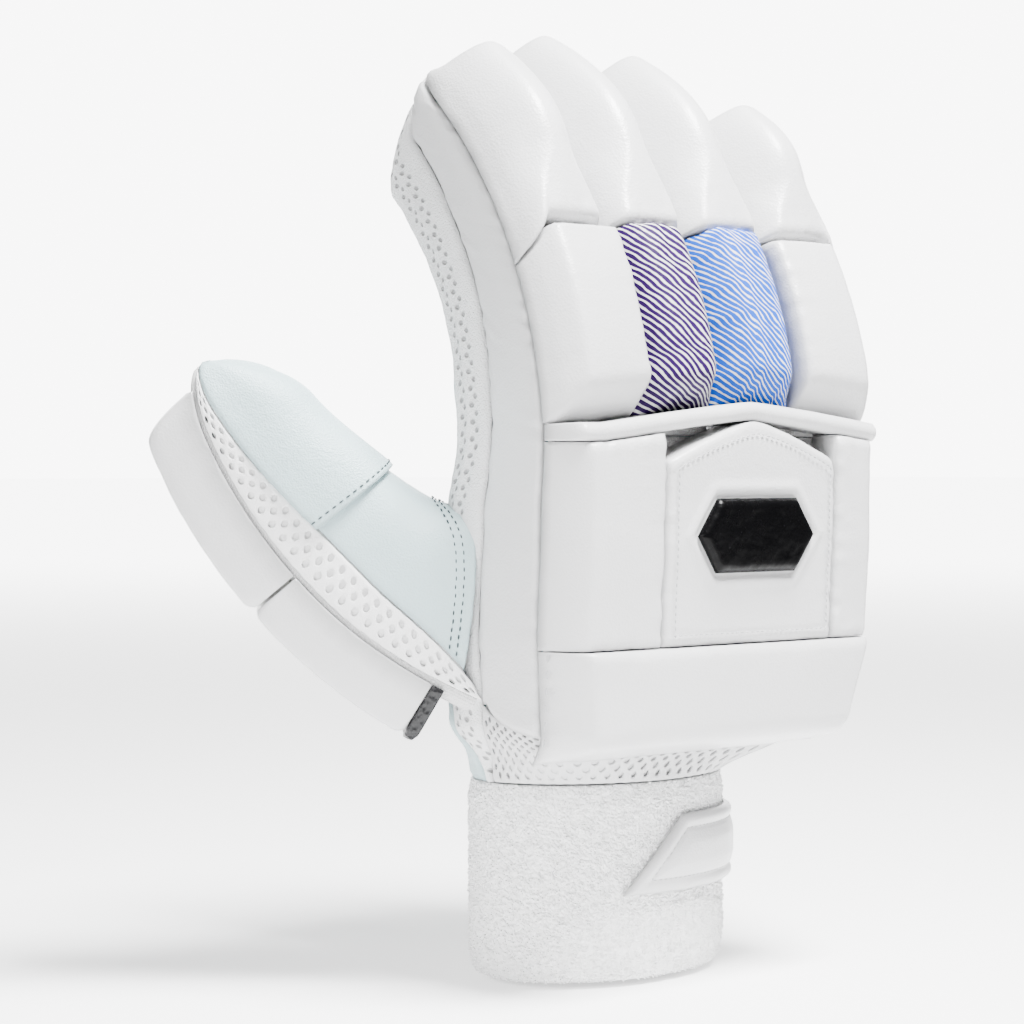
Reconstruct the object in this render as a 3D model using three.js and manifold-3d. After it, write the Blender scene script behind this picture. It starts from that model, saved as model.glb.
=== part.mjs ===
// Cricket batting glove for the right hand, shown as it is worn: fingers up, back of the hand
// towards -Y, thumb towards -X. Millimetres, +Z up. The origin is the middle of the wrist opening,
// at the hem of the wristband.
//
// Every piece is laid out on a column: a line that runs up the back of the hand and bends over the
// fingers. A point on a column has s (up the back, from the top of the wristband), x (across) and
// height (out of the back). Pads are raised on that back, and the walls of the hollow glove are
// bands of its cross-sections.
import * as THREE from "three";
import { mergeVertices } from "three/addons/utils/BufferGeometryUtils.js";
import Module from "manifold-3d";

const wasm = await Module();
wasm.setup();

// Walls and clearances
const SEAM_GAP = 0.4;
const LEATHER_WALL = 1.6;
const KNIT_WALL = 1.6;
const MESH_WALL = 2.2;
const TOWEL_WALL = 4.5;

// Wristband and its closing strap
const WRIST_HALF_WIDTH = 46;
const WRIST_HALF_DEPTH = 33;
const BAND_HEIGHT = 62;
const HEM_ROUND = 12;
const HEM_ROLL = 3;
const STRAP_WIDTH = 24;
const STRAP_RISE = 27;
const STRAP_WALL = 2.6;
const STRAP_SLANT = 20;
const STRAP_SLANT_REACH = 4;
const STRAP_START_DEG = -7;
const STRAP_END_DEG = -172;

// Hand
const HAND_LENGTH = 108;
const HAND_SHIFT = 7;
const HAND_DEPTH = 64;
const BACK_OFFSET = 46;
const WRIST_BLEND = 20;
const MESH_RISE = 21;
const MESH_DIP = 8;

// Fingers: the back bends at the knuckles, and then along an arc of each finger's own radius
const FINGER_PITCH = 33.8;
const FINGER_GAP = 0.8;
const FINGER_DEPTH = 53;
const FINGER_TIP_DEPTH = 40;
const TIP_ROUND = 12;
const KNUCKLE_BEND_DEG = 9;
const KNUCKLE_LENGTH = 12;
const TIP_WIDTH = 22;
const FINGERS = [
  { name: "index", length: 135, radius: 160 },
  { name: "middle", length: 148, radius: 152 },
  { name: "ring", length: 142, radius: 152 },
  { name: "little", length: 120, radius: 146 },
];

// Pads of the back, from the wrist to the fingertips
const PAD_LIP = 3;
const PAD_GAP = 1;
const PAD_HEIGHT = 13;
const ROLL_EDGE = 10;
const BAR_HEIGHT = 15;
const BAR_RISE = 9;
const BAR_LENGTH = 34;
const BAR_TAPER = 11;
const BACK_ROW_LENGTH = 62;
const SIDE_PAD_WIDTH = 37;
const CENTRE_PAD_WIDTH = 73;
const CENTRE_PAD_ROOF = 15;
const CENTRE_PAD_ROOF_POWER = 1.3;
const PIPING_WIDTH = 5;
const PIPING_HEIGHT = 12;
const PIPING_ARCH = 8;
const PIPING_ARCH_REACH = 0.55;
const PIPING_ARCH_POWER = 1.4;
const KNUCKLE_ROW_END = 64;
const BEVEL = 8;
const PILLOW_EDGE = 11;
const ROLL_HEIGHT = 21;
const ROLL_END_ROUND = 18;
const ROLL_END_WIDTH = 21;
const BADGE_WIDTH = 50;
const BADGE_LENGTH = 23;
const BADGE_POINT = 8;
const BADGE_WALL = 2;
const BADGE_RISE = 22;

// Thumb: its root lies inside the hand, and its axis and its back bend from there to the tip
const THUMB_LENGTH = 140;
const THUMB_RADIUS = 165;
const THUMB_WIDTH = 40;
const THUMB_DEPTH = 60;
const THUMB_TIP_DEPTH = 32;
const THUMB_TIP_ROUND = 16;
const THUMB_WEB_DEPTH = 16;
const THUMB_WEB_LENGTH = 55;
const THUMB_ROOT_SINK = 21;
const THUMB_ROOT_BEHIND = -2;
const THUMB_ROOT_RISE = 50;
const THUMB_CORE_BEHIND = 15;
const THUMB_AXIS = new THREE.Vector3(-0.757, 0.505, 0.417);
const THUMB_BACK = new THREE.Vector3(-0.318, 0.267, -0.91);
const THUMB_SEAM = 78;
const THUMB_OVERLAP = 5;
const THUMB_LIFT_LENGTH = 12;
const THUMB_PAD_HEIGHT = 16;
const THUMB_PAD_START = 16;
const THUMB_PAD_SPLIT = 71;
const THUMB_PAD_TIP_GAP = 4;
const THUMB_LINER_WALL = 2;

// Facets
const TIP_STEPS = [0.6, 0.9, 1];
const EDGE_STEP = 0.4;
const BAND_STEPS = 30;
const STRAP_STEPS = Array.from({ length: 17 }, (_, i) => (i / 16) ** 1.4);
const BODY_STEP = 17;
const HAND_STEPS = 6;

// The hand from the wrist to the fingers, as shares of its width, HAND_DEPTH and BACK_OFFSET.
// round is the squareness of the palm side, from 2 for an ellipse. bar and welt are the shares of
// the depth at which the seams of the side bar and of the side welt lie.
const HAND_SHAPE = [
  { up: 0, width: 0.9, depth: 0.98, back: 0.9, round: 2.6, bar: 0.47, welt: 0.52 },
  { up: 0.18, width: 0.96, depth: 1.06, back: 0.92, round: 2.8, bar: 0.46, welt: 0.7 },
  { up: 0.45, width: 0.99, depth: 1.11, back: 0.95, round: 3, bar: 0.46, welt: 0.84 },
  { up: 0.75, width: 1, depth: 1, back: 0.98, round: 3.4, bar: 0.48, welt: 0.86 },
  { up: 1, width: 1, depth: FINGER_DEPTH / HAND_DEPTH, back: 1, round: 5, bar: 0.53, welt: 0.87 },
];
const FINGER_SHAPE = [
  { up: 0, bar: 0.53, welt: 0.87 },
  { up: 0.5, bar: 0.46, welt: 0.89 },
  { up: 1, bar: 0.4, welt: 0.92 },
];
const BACK_SEAM = 0.05;
const FINGER_SEAM = 0.62;
const THUMB_MESH_LOW = 0.07;
const THUMB_MESH_WIDTH = 0.03;
const THUMB_MESH_BULGE = 0.27;

const clamp01 = (value) => Math.min(1, Math.max(0, value));
const mix = (from, to, share) => from + (to - from) * share;
const smooth = (share) => clamp01(share) ** 2 * (3 - 2 * clamp01(share));
const spread = (count) => Array.from({ length: count + 1 }, (_, i) => i / count);
const fixed = (value) => () => value;

// A column of a table, at a place between its rows.
function readTable(table, at, key) {
  const next = table.findIndex((row) => row.up >= at);
  if (next <= 0) return table[0][key];
  const low = table[next - 1];
  const high = table[next];
  return mix(low[key], high[key], smooth((at - low.up) / (high.up - low.up)));
}

// Cross-sections: superellipses with a squareness of their own on the back and on the palm side.
// inset moves the whole outline inwards, and the tip with it.
const handHalfWidth = (FINGERS.length * FINGER_PITCH - FINGER_GAP) / 2;
const fingerCentre = (i) => HAND_SHIFT + (i - (FINGERS.length - 1) / 2) * FINGER_PITCH;

function handSection(s, inset = 0) {
  const up = clamp01(s / HAND_LENGTH);
  const blend = smooth(s / WRIST_BLEND);
  const size = (wrist, key, full) => mix(wrist, full * readTable(HAND_SHAPE, up, key), blend);
  return {
    centre: mix(0, HAND_SHIFT, blend),
    halfWidth: size(WRIST_HALF_WIDTH, "width", handHalfWidth) - inset,
    halfDepth: size(WRIST_HALF_DEPTH, "depth", HAND_DEPTH / 2) - inset,
    back: size(WRIST_HALF_DEPTH, "back", BACK_OFFSET),
    backPower: mix(2, 6, blend),
    palmPower: size(2, "round", 1),
    seams: {
      back: BACK_SEAM,
      bar: readTable(HAND_SHAPE, up, "bar"),
      welt: readTable(HAND_SHAPE, up, "welt"),
    },
  };
}

// A tip closes towards the back, as a fingertip does.
const tipShare = (s, end, round) => Math.sqrt(1 - 0.998 * clamp01((s - (end - round)) / round) ** 2);

function fingerSection(finger, s, inset = 0) {
  const t = clamp01((s - HAND_LENGTH) / finger.length);
  const tip = tipShare(s, HAND_LENGTH + finger.length - inset, TIP_ROUND);
  const halfWidth = (FINGER_PITCH - FINGER_GAP) / 2 - inset;
  return {
    centre: finger.centre,
    halfWidth: mix(TIP_WIDTH / 2 - inset, halfWidth, tip),
    halfDepth: (mix(FINGER_DEPTH, FINGER_TIP_DEPTH, t) / 2 - inset) * tip,
    backPower: 5,
    palmPower: mix(5, 2.6, smooth(3 * t)),
    seams: {
      back: BACK_SEAM,
      bar: readTable(FINGER_SHAPE, t, "bar"),
      welt: readTable(FINGER_SHAPE, t, "welt"),
      half: FINGER_SEAM,
    },
  };
}

function thumbSection(s, inset = 0) {
  const t = clamp01(s / THUMB_LENGTH);
  const tip = tipShare(s, THUMB_LENGTH - inset, THUMB_TIP_ROUND);
  const web = THUMB_WEB_DEPTH * (1 - smooth(s / THUMB_WEB_LENGTH));
  return {
    centre: 0,
    halfWidth: mix(TIP_WIDTH / 2 - inset, THUMB_WIDTH / 2 - inset, tip),
    halfDepth: ((mix(THUMB_DEPTH, THUMB_TIP_DEPTH, t) + web) / 2 - inset) * tip,
    backPower: 4.5,
    palmPower: 2.5,
    seams: {
      back: THUMB_MESH_LOW,
      half: THUMB_MESH_LOW + THUMB_MESH_WIDTH + THUMB_MESH_BULGE * Math.sin(Math.PI * t),
    },
  };
}

// Columns: where s, x and height lie in space. Past the hand, the back bends round an arc.
function bend(radius, s, x, height) {
  const knuckleRadius = KNUCKLE_LENGTH / THREE.MathUtils.degToRad(KNUCKLE_BEND_DEG);
  const first = Math.min(s - HAND_LENGTH, KNUCKLE_LENGTH) / knuckleRadius;
  const angle = first + Math.max(0, s - HAND_LENGTH - KNUCKLE_LENGTH) / radius;
  const y = knuckleRadius * (1 - Math.cos(first)) + radius * (Math.cos(first) - Math.cos(angle));
  const z = knuckleRadius * Math.sin(first) + radius * (Math.sin(angle) - Math.sin(first));
  return new THREE.Vector3(
    x,
    y - BACK_OFFSET - height * Math.cos(angle),
    BAND_HEIGHT + HAND_LENGTH + z + height * Math.sin(angle),
  );
}

const handColumn = {
  end: HAND_LENGTH,
  section: handSection,
  place(s, x, height) {
    if (s > HAND_LENGTH) return bend(FINGERS[0].radius, s, x, height);
    return new THREE.Vector3(x, -handSection(s).back - height, BAND_HEIGHT + s);
  },
};

function fingerColumn(finger, i) {
  finger.centre = fingerCentre(i);
  return {
    end: HAND_LENGTH + finger.length,
    tip: TIP_ROUND,
    section: (s, inset) => fingerSection(finger, s, inset),
    place(s, x, height) {
      if (s > HAND_LENGTH) return bend(finger.radius, s, x, height);
      return handColumn.place(s, x, height);
    },
  };
}

const fingerColumns = FINGERS.map(fingerColumn);

const thumbRoot = new THREE.Vector3(
  HAND_SHIFT - handHalfWidth + THUMB_ROOT_SINK,
  THUMB_ROOT_BEHIND,
  BAND_HEIGHT + THUMB_ROOT_RISE,
);
const thumbAlong = THUMB_AXIS.clone().normalize();
const thumbSide = new THREE.Vector3().crossVectors(thumbAlong, THUMB_BACK).normalize();
const thumbPalmward = new THREE.Vector3().crossVectors(thumbAlong, thumbSide).normalize();
const thumbFrame = new THREE.Matrix4().makeBasis(thumbSide, thumbPalmward, thumbAlong);
thumbFrame.setPosition(thumbRoot);

const thumbColumn = {
  end: THUMB_LENGTH,
  tip: THUMB_TIP_ROUND,
  section: thumbSection,
  place(s, x, height) {
    const angle = s / THUMB_RADIUS;
    const reach = THUMB_RADIUS + height;
    const y = THUMB_RADIUS - THUMB_DEPTH / 2 - reach * Math.cos(angle);
    return new THREE.Vector3(x, y, reach * Math.sin(angle)).applyMatrix4(thumbFrame);
  },
};

// A point of the cross-section. The turn is 0 at the middle of the back, 90 at the thumb side and
// 180 at the middle of the palm.
function ringPoint(column, s, turn, inset = 0) {
  const form = column.section(s, inset);
  const angle = THREE.MathUtils.degToRad(turn);
  const across = Math.sin(angle);
  const out = Math.cos(angle);
  const power = out > 0 ? form.backPower : form.palmPower;
  const reach = (Math.abs(across) ** power + Math.abs(out) ** power) ** (-1 / power);
  const x = form.centre - form.halfWidth * across * reach;
  return column.place(s, x, form.halfDepth * (out * reach - 1) - inset);
}

// The turn at which the side of a section lies at a share of its depth, from the back.
function turnAt(form, share) {
  const out = 1 - 2 * share;
  const power = out > 0 ? form.backPower : form.palmPower;
  const across = (1 - Math.abs(out) ** power) ** (1 / power);
  return THREE.MathUtils.radToDeg(Math.atan2(across, out));
}

// Turns a closed geometry the right way out, by its signed volume.
function outwards(geometry) {
  const place = geometry.getAttribute("position");
  const index = geometry.getIndex();
  const corner = [0, 1, 2].map(() => new THREE.Vector3());
  let volume = 0;
  for (let i = 0; i < index.count; i += 3) {
    corner.forEach((point, k) => point.fromBufferAttribute(place, index.getX(i + k)));
    volume += corner[0].dot(corner[1].cross(corner[2]));
  }
  if (volume > 0) return geometry;
  for (let i = 0; i < index.count; i += 3) {
    const second = index.getX(i + 1);
    index.setX(i + 1, index.getX(i + 2));
    index.setX(i + 2, second);
  }
  return geometry;
}

function closedGeometry(points, faces) {
  const geometry = new THREE.BufferGeometry().setFromPoints(points);
  geometry.setIndex(faces);
  return outwards(geometry);
}

// A closed sheet from two grids of points, outer[i][j] and inner[i][j]. wrap joins the last column
// to the first.
function sheet(outer, inner, wrap = false) {
  const rows = outer.length;
  const cols = outer[0].length;
  const spans = wrap ? cols : cols - 1;
  const faces = [];
  const at = (layer, i, j) => (layer * rows + i) * cols + (j % cols);
  const quad = (a, b, c, d) => faces.push(a, b, c, a, c, d);
  for (let j = 0; j < spans; j++) {
    for (let i = 0; i < rows - 1; i++) {
      quad(at(0, i, j), at(0, i + 1, j), at(0, i + 1, j + 1), at(0, i, j + 1));
      quad(at(1, i, j), at(1, i, j + 1), at(1, i + 1, j + 1), at(1, i + 1, j));
    }
    quad(at(1, 0, j), at(0, 0, j), at(0, 0, j + 1), at(1, 0, j + 1));
    quad(at(0, rows - 1, j), at(1, rows - 1, j), at(1, rows - 1, j + 1), at(0, rows - 1, j + 1));
  }
  for (let i = 0; i < rows - 1 && !wrap; i++) {
    quad(at(0, i, 0), at(1, i, 0), at(1, i + 1, 0), at(0, i + 1, 0));
    quad(at(1, i, spans), at(0, i, spans), at(0, i + 1, spans), at(1, i + 1, spans));
  }
  return closedGeometry([...outer.flat(), ...inner.flat()], faces);
}

// A closed body of whole cross-sections.
function envelope(column, low, high, inset, rowCount, around) {
  const faces = [];
  const at = (i, j) => i * around + (j % around);
  const ring = (s) => spread(around).slice(1).map((v) => ringPoint(column, s, 360 * v, inset));
  for (let j = 0; j < around; j++) {
    for (let i = 0; i < rowCount; i++) {
      faces.push(at(i, j), at(i + 1, j), at(i + 1, j + 1), at(i, j), at(i + 1, j + 1), at(i, j + 1));
    }
  }
  for (let j = 1; j < around - 1; j++) {
    faces.push(at(0, 0), at(0, j), at(0, j + 1));
    faces.push(at(rowCount, 0), at(rowCount, j + 1), at(rowCount, j));
  }
  return closedGeometry(spread(rowCount).flatMap((u) => ring(mix(low, high, u))), faces);
}

// Places along a column by their shares of it, and a quarter circle over a rounded tip
function climb(low, end, tip, shares) {
  const body = shares.map((u) => mix(low, end - tip, u));
  return tip ? [...body, ...TIP_STEPS.map((k) => end - tip + tip * k)] : body;
}

// A wall of the hollow glove: a band of the cross-sections between two seams. from and to take a
// section and give a turn. low and high take a turn and give s, and without high the wall closes
// over the tip. lift raises it at a place s.
function wall({ column, low, high, from, to, lift = fixed(0), thick, across, rows }) {
  const form = column.section(MESH_RISE);
  const turns = spread(across).map((v) => mix(from(form), to(form), v));
  const tip = high ? 0 : column.tip;
  const shares = rows ?? spread(Math.round((column.end - low(0)) / BODY_STEP));
  const layer = (inset) => {
    const lines = turns.map((turn, j) =>
      climb(low(turn), high ? high(turn) : column.end - inset, tip, shares).map((s) => {
        const here = column.section(s);
        return ringPoint(column, s, mix(from(here), to(here), j / across), inset - lift(s));
      }),
    );
    return lines[0].map((_, i) => lines.map((line) => line[i]));
  };
  return sheet(layer(0), layer(thick));
}

// A pad raised on the back. from and to give s at a share across, left, right and height go by the
// share along. edges are the widths of its four slopes, and soft is 1 for round slopes and 0 for
// flat ones.
function pad(shape) {
  const { column, from, to, left, right, height, edges, soft = 0.5 } = shape;
  const rise = (distance, width) => {
    const q = clamp01(distance / width);
    return mix(q, Math.sin((q * Math.PI) / 2), soft);
  };
  const knots = (length, first, last, between) => {
    const flat = spread(between + 1).map((u) => mix(first, length - last, u));
    const places = [0, first * EDGE_STEP, ...flat, length - last * EDGE_STEP, length];
    return places.map((place) => place / length);
  };
  const length = to(0.5) - from(0.5);
  const width = right(0.5) - left(0.5);
  const rows = knots(length, edges.low, edges.high, shape.rows ?? Math.round(length / BODY_STEP) - 1);
  const cols = knots(width, edges.left, edges.right, shape.cols ?? 1);
  const layer = (top) =>
    rows.map((u) =>
      cols.map((v) => {
        const s = mix(from(v), to(v), u);
        const x = mix(left(u), right(u), v);
        const ends = Math.min(rise(u * length, edges.low), rise((1 - u) * length, edges.high));
        const sides = Math.min(rise(v * width, edges.left), rise((1 - v) * width, edges.right));
        const share = (shape.openEnds ? 1 : ends) * sides;
        return column.place(s, x, top ? mix(PAD_LIP, height(u), share) : SEAM_GAP);
      }),
    );
  return sheet(layer(true), layer(false));
}

// Cutting one closed geometry by others
function solidOf(geometry) {
  const bare = geometry.clone();
  bare.deleteAttribute("normal");
  bare.deleteAttribute("uv");
  const merged = mergeVertices(bare, 1e-4);
  const vertProperties = new Float32Array(merged.getAttribute("position").array);
  const triVerts = new Uint32Array(merged.getIndex().array);
  return new wasm.Manifold(new wasm.Mesh({ numProp: 3, vertProperties, triVerts }));
}

// Cuts a geometry by a tool and keeps its largest piece.
function cut(geometry, tool) {
  const pieces = solidOf(geometry).subtract(solidOf(tool)).decompose();
  pieces.sort((a, b) => b.volume() - a.volume());
  const mesh = pieces[0].getMesh();
  const result = new THREE.BufferGeometry();
  result.setAttribute("position", new THREE.BufferAttribute(mesh.vertProperties, 3));
  result.setIndex(new THREE.BufferAttribute(mesh.triVerts, 1));
  return result;
}

// Materials
function finish(color, roughness) {
  return new THREE.MeshStandardMaterial({ color, roughness, metalness: 0 });
}
const whiteLeather = finish("#ececec", 0.42);
const palmLeather = finish("#dde6e7", 0.5);
const knit = finish("#e9e9e9", 0.85);
const suede = finish("#e2e5e6", 0.8);
const airMesh = finish("#efefef", 0.8);
const towelling = finish("#f1f1f1", 0.95);
const violetPrint = finish("#8d7fb4", 0.6);
const bluePrint = finish("#8fb8ee", 0.6);
const blackGel = finish("#08080a", 0.2);
const darkLining = finish("#2a2b2d", 0.6);

const glove = new THREE.Group();
function add(name, geometry, material) {
  const mesh = new THREE.Mesh(geometry, material);
  mesh.name = name;
  glove.add(mesh);
}

// Seams as turns. side is 1 for the edge of the band on the palm side of the seam, and -1 for the
// band on its back side, with half of the gap each.
const seam = (name, side) => (form) => {
  const half = THREE.MathUtils.radToDeg(SEAM_GAP / 2 / Math.max(form.halfDepth, 4));
  return turnAt(form, form.seams[name]) + side * half;
};
const mirrored = (turn) => (form) => -turn(form);
const wrapped = (turn) => (form) => 360 - turn(form);

// Wristband: a towelling tube whose hem rolls in.
function wristband() {
  const rows = [0, 0.03, 0.09, 0.2, 1];
  const layer = (inset) =>
    rows.map((up) => {
      const over = clamp01(1 - (up * BAND_HEIGHT) / HEM_ROUND);
      const roll = HEM_ROLL * (1 - Math.sqrt(1 - over ** 2));
      return spread(BAND_STEPS).slice(1).map((v) => {
        const point = ringPoint(handColumn, 0, 360 * v, inset + roll);
        return point.setZ(up * (BAND_HEIGHT - SEAM_GAP));
      });
    });
  return sheet(layer(0), layer(TOWEL_WALL), true);
}
add("wristband", wristband(), towelling);

// Closing strap: a leather tab round the little-finger side of the band, with a slanting end.
function closingStrap() {
  const degreeLength = (Math.PI * (WRIST_HALF_WIDTH + WRIST_HALF_DEPTH)) / 360;
  const layer = (inset) =>
    spread(3).map((u) =>
      STRAP_STEPS.map((v) => {
        const slant = ((1 - u) * STRAP_SLANT * (1 - v) ** STRAP_SLANT_REACH) / degreeLength;
        const turn = mix(STRAP_START_DEG, STRAP_END_DEG, v) + slant;
        return ringPoint(handColumn, 0, turn, inset).setZ(STRAP_RISE + STRAP_WIDTH * u);
      }),
    );
  return sheet(layer(-2 * SEAM_GAP - STRAP_WALL), layer(-2 * SEAM_GAP));
}
add("closing_strap", closingStrap(), whiteLeather);

// The tools that open the hand for the thumb, and trim the thumb at the hand
const thumbCore = envelope(thumbColumn, -THUMB_CORE_BEHIND, THUMB_PAD_SPLIT, LEATHER_WALL, 8, 24);
const handSpace = envelope(handColumn, 0, HAND_LENGTH, -2 * SEAM_GAP, 16, 60);

// Hand: mesh at the wrist, knit under the pads, leather palm, and two strips down each side
const meshTop = (turn) => MESH_RISE - MESH_DIP * Math.cos(THREE.MathUtils.degToRad(turn)) ** 2;
const overMesh = (turn) => meshTop(turn) + SEAM_GAP;
const meshRows = spread(3);
const handRows = [
  ...meshRows.map((u) => (u * MESH_RISE) / HAND_LENGTH),
  ...spread(HAND_STEPS).slice(1).map((u) => mix(MESH_RISE / HAND_LENGTH, 1, u)),
];

add(
  "wrist_mesh",
  wall({
    column: handColumn,
    low: fixed(0),
    high: meshTop,
    from: seam("bar", -1),
    to: mirrored(seam("bar", -1)),
    thick: MESH_WALL,
    across: 18,
    rows: meshRows,
  }),
  airMesh,
);

add(
  "back_base",
  wall({
    column: handColumn,
    low: overMesh,
    high: fixed(HAND_LENGTH),
    from: seam("back", -1),
    to: mirrored(seam("back", -1)),
    thick: KNIT_WALL,
    across: 8,
    rows: spread(HAND_STEPS),
  }),
  knit,
);

const palm = wall({
  column: handColumn,
  low: fixed(0),
  high: fixed(HAND_LENGTH),
  from: seam("welt", 1),
  to: wrapped(seam("welt", 1)),
  thick: LEATHER_WALL,
  across: 16,
  rows: handRows,
});
add("palm_leather", cut(palm, thumbCore), palmLeather);

// The side strips run on from the hand over the outer side of the index and the little finger.
const OUTER_FINGERS = [
  { side: "index", index: 0, turned: (turn) => turn },
  { side: "little", index: FINGERS.length - 1, turned: mirrored },
];
for (const { side, index, turned } of OUTER_FINGERS) {
  const strip = { thick: LEATHER_WALL, across: 3 };
  const bar = { ...strip, from: turned(seam("back", 1)), to: turned(seam("bar", -1)) };
  const welt = { ...strip, from: turned(seam("bar", 1)), to: turned(seam("welt", -1)) };
  const onHand = { column: handColumn, high: fixed(HAND_LENGTH) };
  const onFinger = { column: fingerColumns[index], low: fixed(HAND_LENGTH + SEAM_GAP) };
  const barOnHand = wall({ ...bar, ...onHand, low: overMesh, rows: spread(HAND_STEPS) });
  const weltOnHand = wall({ ...welt, ...onHand, low: fixed(0), rows: handRows });
  add(`side_bar_${side}`, barOnHand, whiteLeather);
  add(`side_welt_${side}`, cut(weltOnHand, thumbCore), suede);
  add(`side_bar_${side}_finger`, wall({ ...bar, ...onFinger }), whiteLeather);
  add(`side_welt_${side}_finger`, wall({ ...welt, ...onFinger }), suede);
}

// Fingers: a knit back under the pads and a leather palm side, closed at the tip
FINGERS.forEach(({ name }, i) => {
  const base = { column: fingerColumns[i], low: fixed(HAND_LENGTH + SEAM_GAP) };
  const first = i === 0;
  const last = i === FINGERS.length - 1;
  add(
    `finger_back_${name}`,
    wall({
      ...base,
      from: seam(first ? "back" : "half", -1),
      to: mirrored(seam(last ? "back" : "half", -1)),
      thick: KNIT_WALL,
      across: 6,
    }),
    knit,
  );
  add(
    `finger_leather_${name}`,
    wall({
      ...base,
      from: seam(first ? "welt" : "half", 1),
      to: wrapped(seam(last ? "welt" : "half", 1)),
      thick: LEATHER_WALL,
      across: 6,
    }),
    palmLeather,
  );
});

// Rows of pads, as s along the back and x across it
const rowLeft = HAND_SHIFT - handHalfWidth;
const rowRight = HAND_SHIFT + handHalfWidth;
const backRow = { low: BAR_RISE + BAR_LENGTH + PAD_GAP };
backRow.high = backRow.low + BACK_ROW_LENGTH;
const centreLeft = rowLeft + SIDE_PAD_WIDTH + PAD_GAP;
const centreRight = centreLeft + CENTRE_PAD_WIDTH;
const ridge = (centreLeft + centreRight) / 2;
const archReach = (rowRight - rowLeft) * PIPING_ARCH_REACH;
const arch = (x) => PIPING_ARCH * (1 - clamp01(Math.abs(x - ridge) / archReach) ** PIPING_ARCH_POWER);

add(
  "wrist_bar",
  pad({
    column: handColumn,
    from: fixed(BAR_RISE),
    to: fixed(BAR_RISE + BAR_LENGTH),
    left: (u) => mix(rowLeft + BAR_TAPER / 3, rowLeft, u),
    right: (u) => mix(rowRight - BAR_TAPER, rowRight, u),
    height: fixed(BAR_HEIGHT),
    edges: { left: BEVEL, right: BEVEL, low: 5, high: 3 },
    cols: 5,
  }),
  whiteLeather,
);

const sidePad = {
  column: handColumn,
  from: fixed(backRow.low),
  to: fixed(backRow.high),
  height: fixed(PAD_HEIGHT),
};
add(
  "back_pad_thumb_side",
  pad({
    ...sidePad,
    left: fixed(rowLeft),
    right: fixed(rowLeft + SIDE_PAD_WIDTH),
    edges: { left: BEVEL, right: 2, low: 2, high: 2 },
  }),
  whiteLeather,
);
add(
  "back_pad_little_side",
  pad({
    ...sidePad,
    left: fixed(centreRight + PAD_GAP),
    right: fixed(rowRight),
    edges: { left: 2, right: BEVEL, low: 2, high: 2 },
  }),
  whiteLeather,
);

const roof = (v) => {
  const x = mix(centreLeft, centreRight, v);
  return backRow.high + arch(x) - CENTRE_PAD_ROOF * Math.abs(2 * v - 1) ** CENTRE_PAD_ROOF_POWER;
};
add(
  "back_pad_centre",
  pad({
    column: handColumn,
    from: fixed(backRow.low),
    to: roof,
    left: fixed(centreLeft),
    right: fixed(centreRight),
    height: fixed(PAD_HEIGHT),
    edges: { left: 4, right: 4, low: 3, high: 3 },
    cols: 3,
  }),
  whiteLeather,
);

// Badge: a plain long hexagon of gel on the centre pad.
function badge() {
  const half = BADGE_WIDTH / 2;
  const centre = backRow.low + BADGE_RISE + BADGE_LENGTH / 2;
  const layer = (height) =>
    [-1, 0, 1].map((along) =>
      [-1, -0.5, 0, 0.5, 1].map((across) => {
        const reach = half - BADGE_POINT * Math.abs(along);
        const s = centre + (along * BADGE_LENGTH) / 2;
        return handColumn.place(s, ridge + across * reach, height);
      }),
    );
  const foot = PAD_HEIGHT + SEAM_GAP;
  return sheet(layer(foot + BADGE_WALL), layer(foot));
}
add("badge", badge(), blackGel);

// Piping: a thin roll between the back row and the knuckle row.
const pipingLow = (v) => backRow.high + SEAM_GAP + arch(mix(rowLeft, rowRight, v));
add(
  "piping",
  pad({
    column: handColumn,
    from: pipingLow,
    to: (v) => pipingLow(v) + PIPING_WIDTH,
    left: fixed(rowLeft),
    right: fixed(rowRight),
    height: fixed(PIPING_HEIGHT),
    edges: { left: 5, right: 5, low: PIPING_WIDTH * 0.45, high: PIPING_WIDTH * 0.45 },
    soft: 1,
    rows: 0,
    cols: 9,
  }),
  whiteLeather,
);

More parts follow.
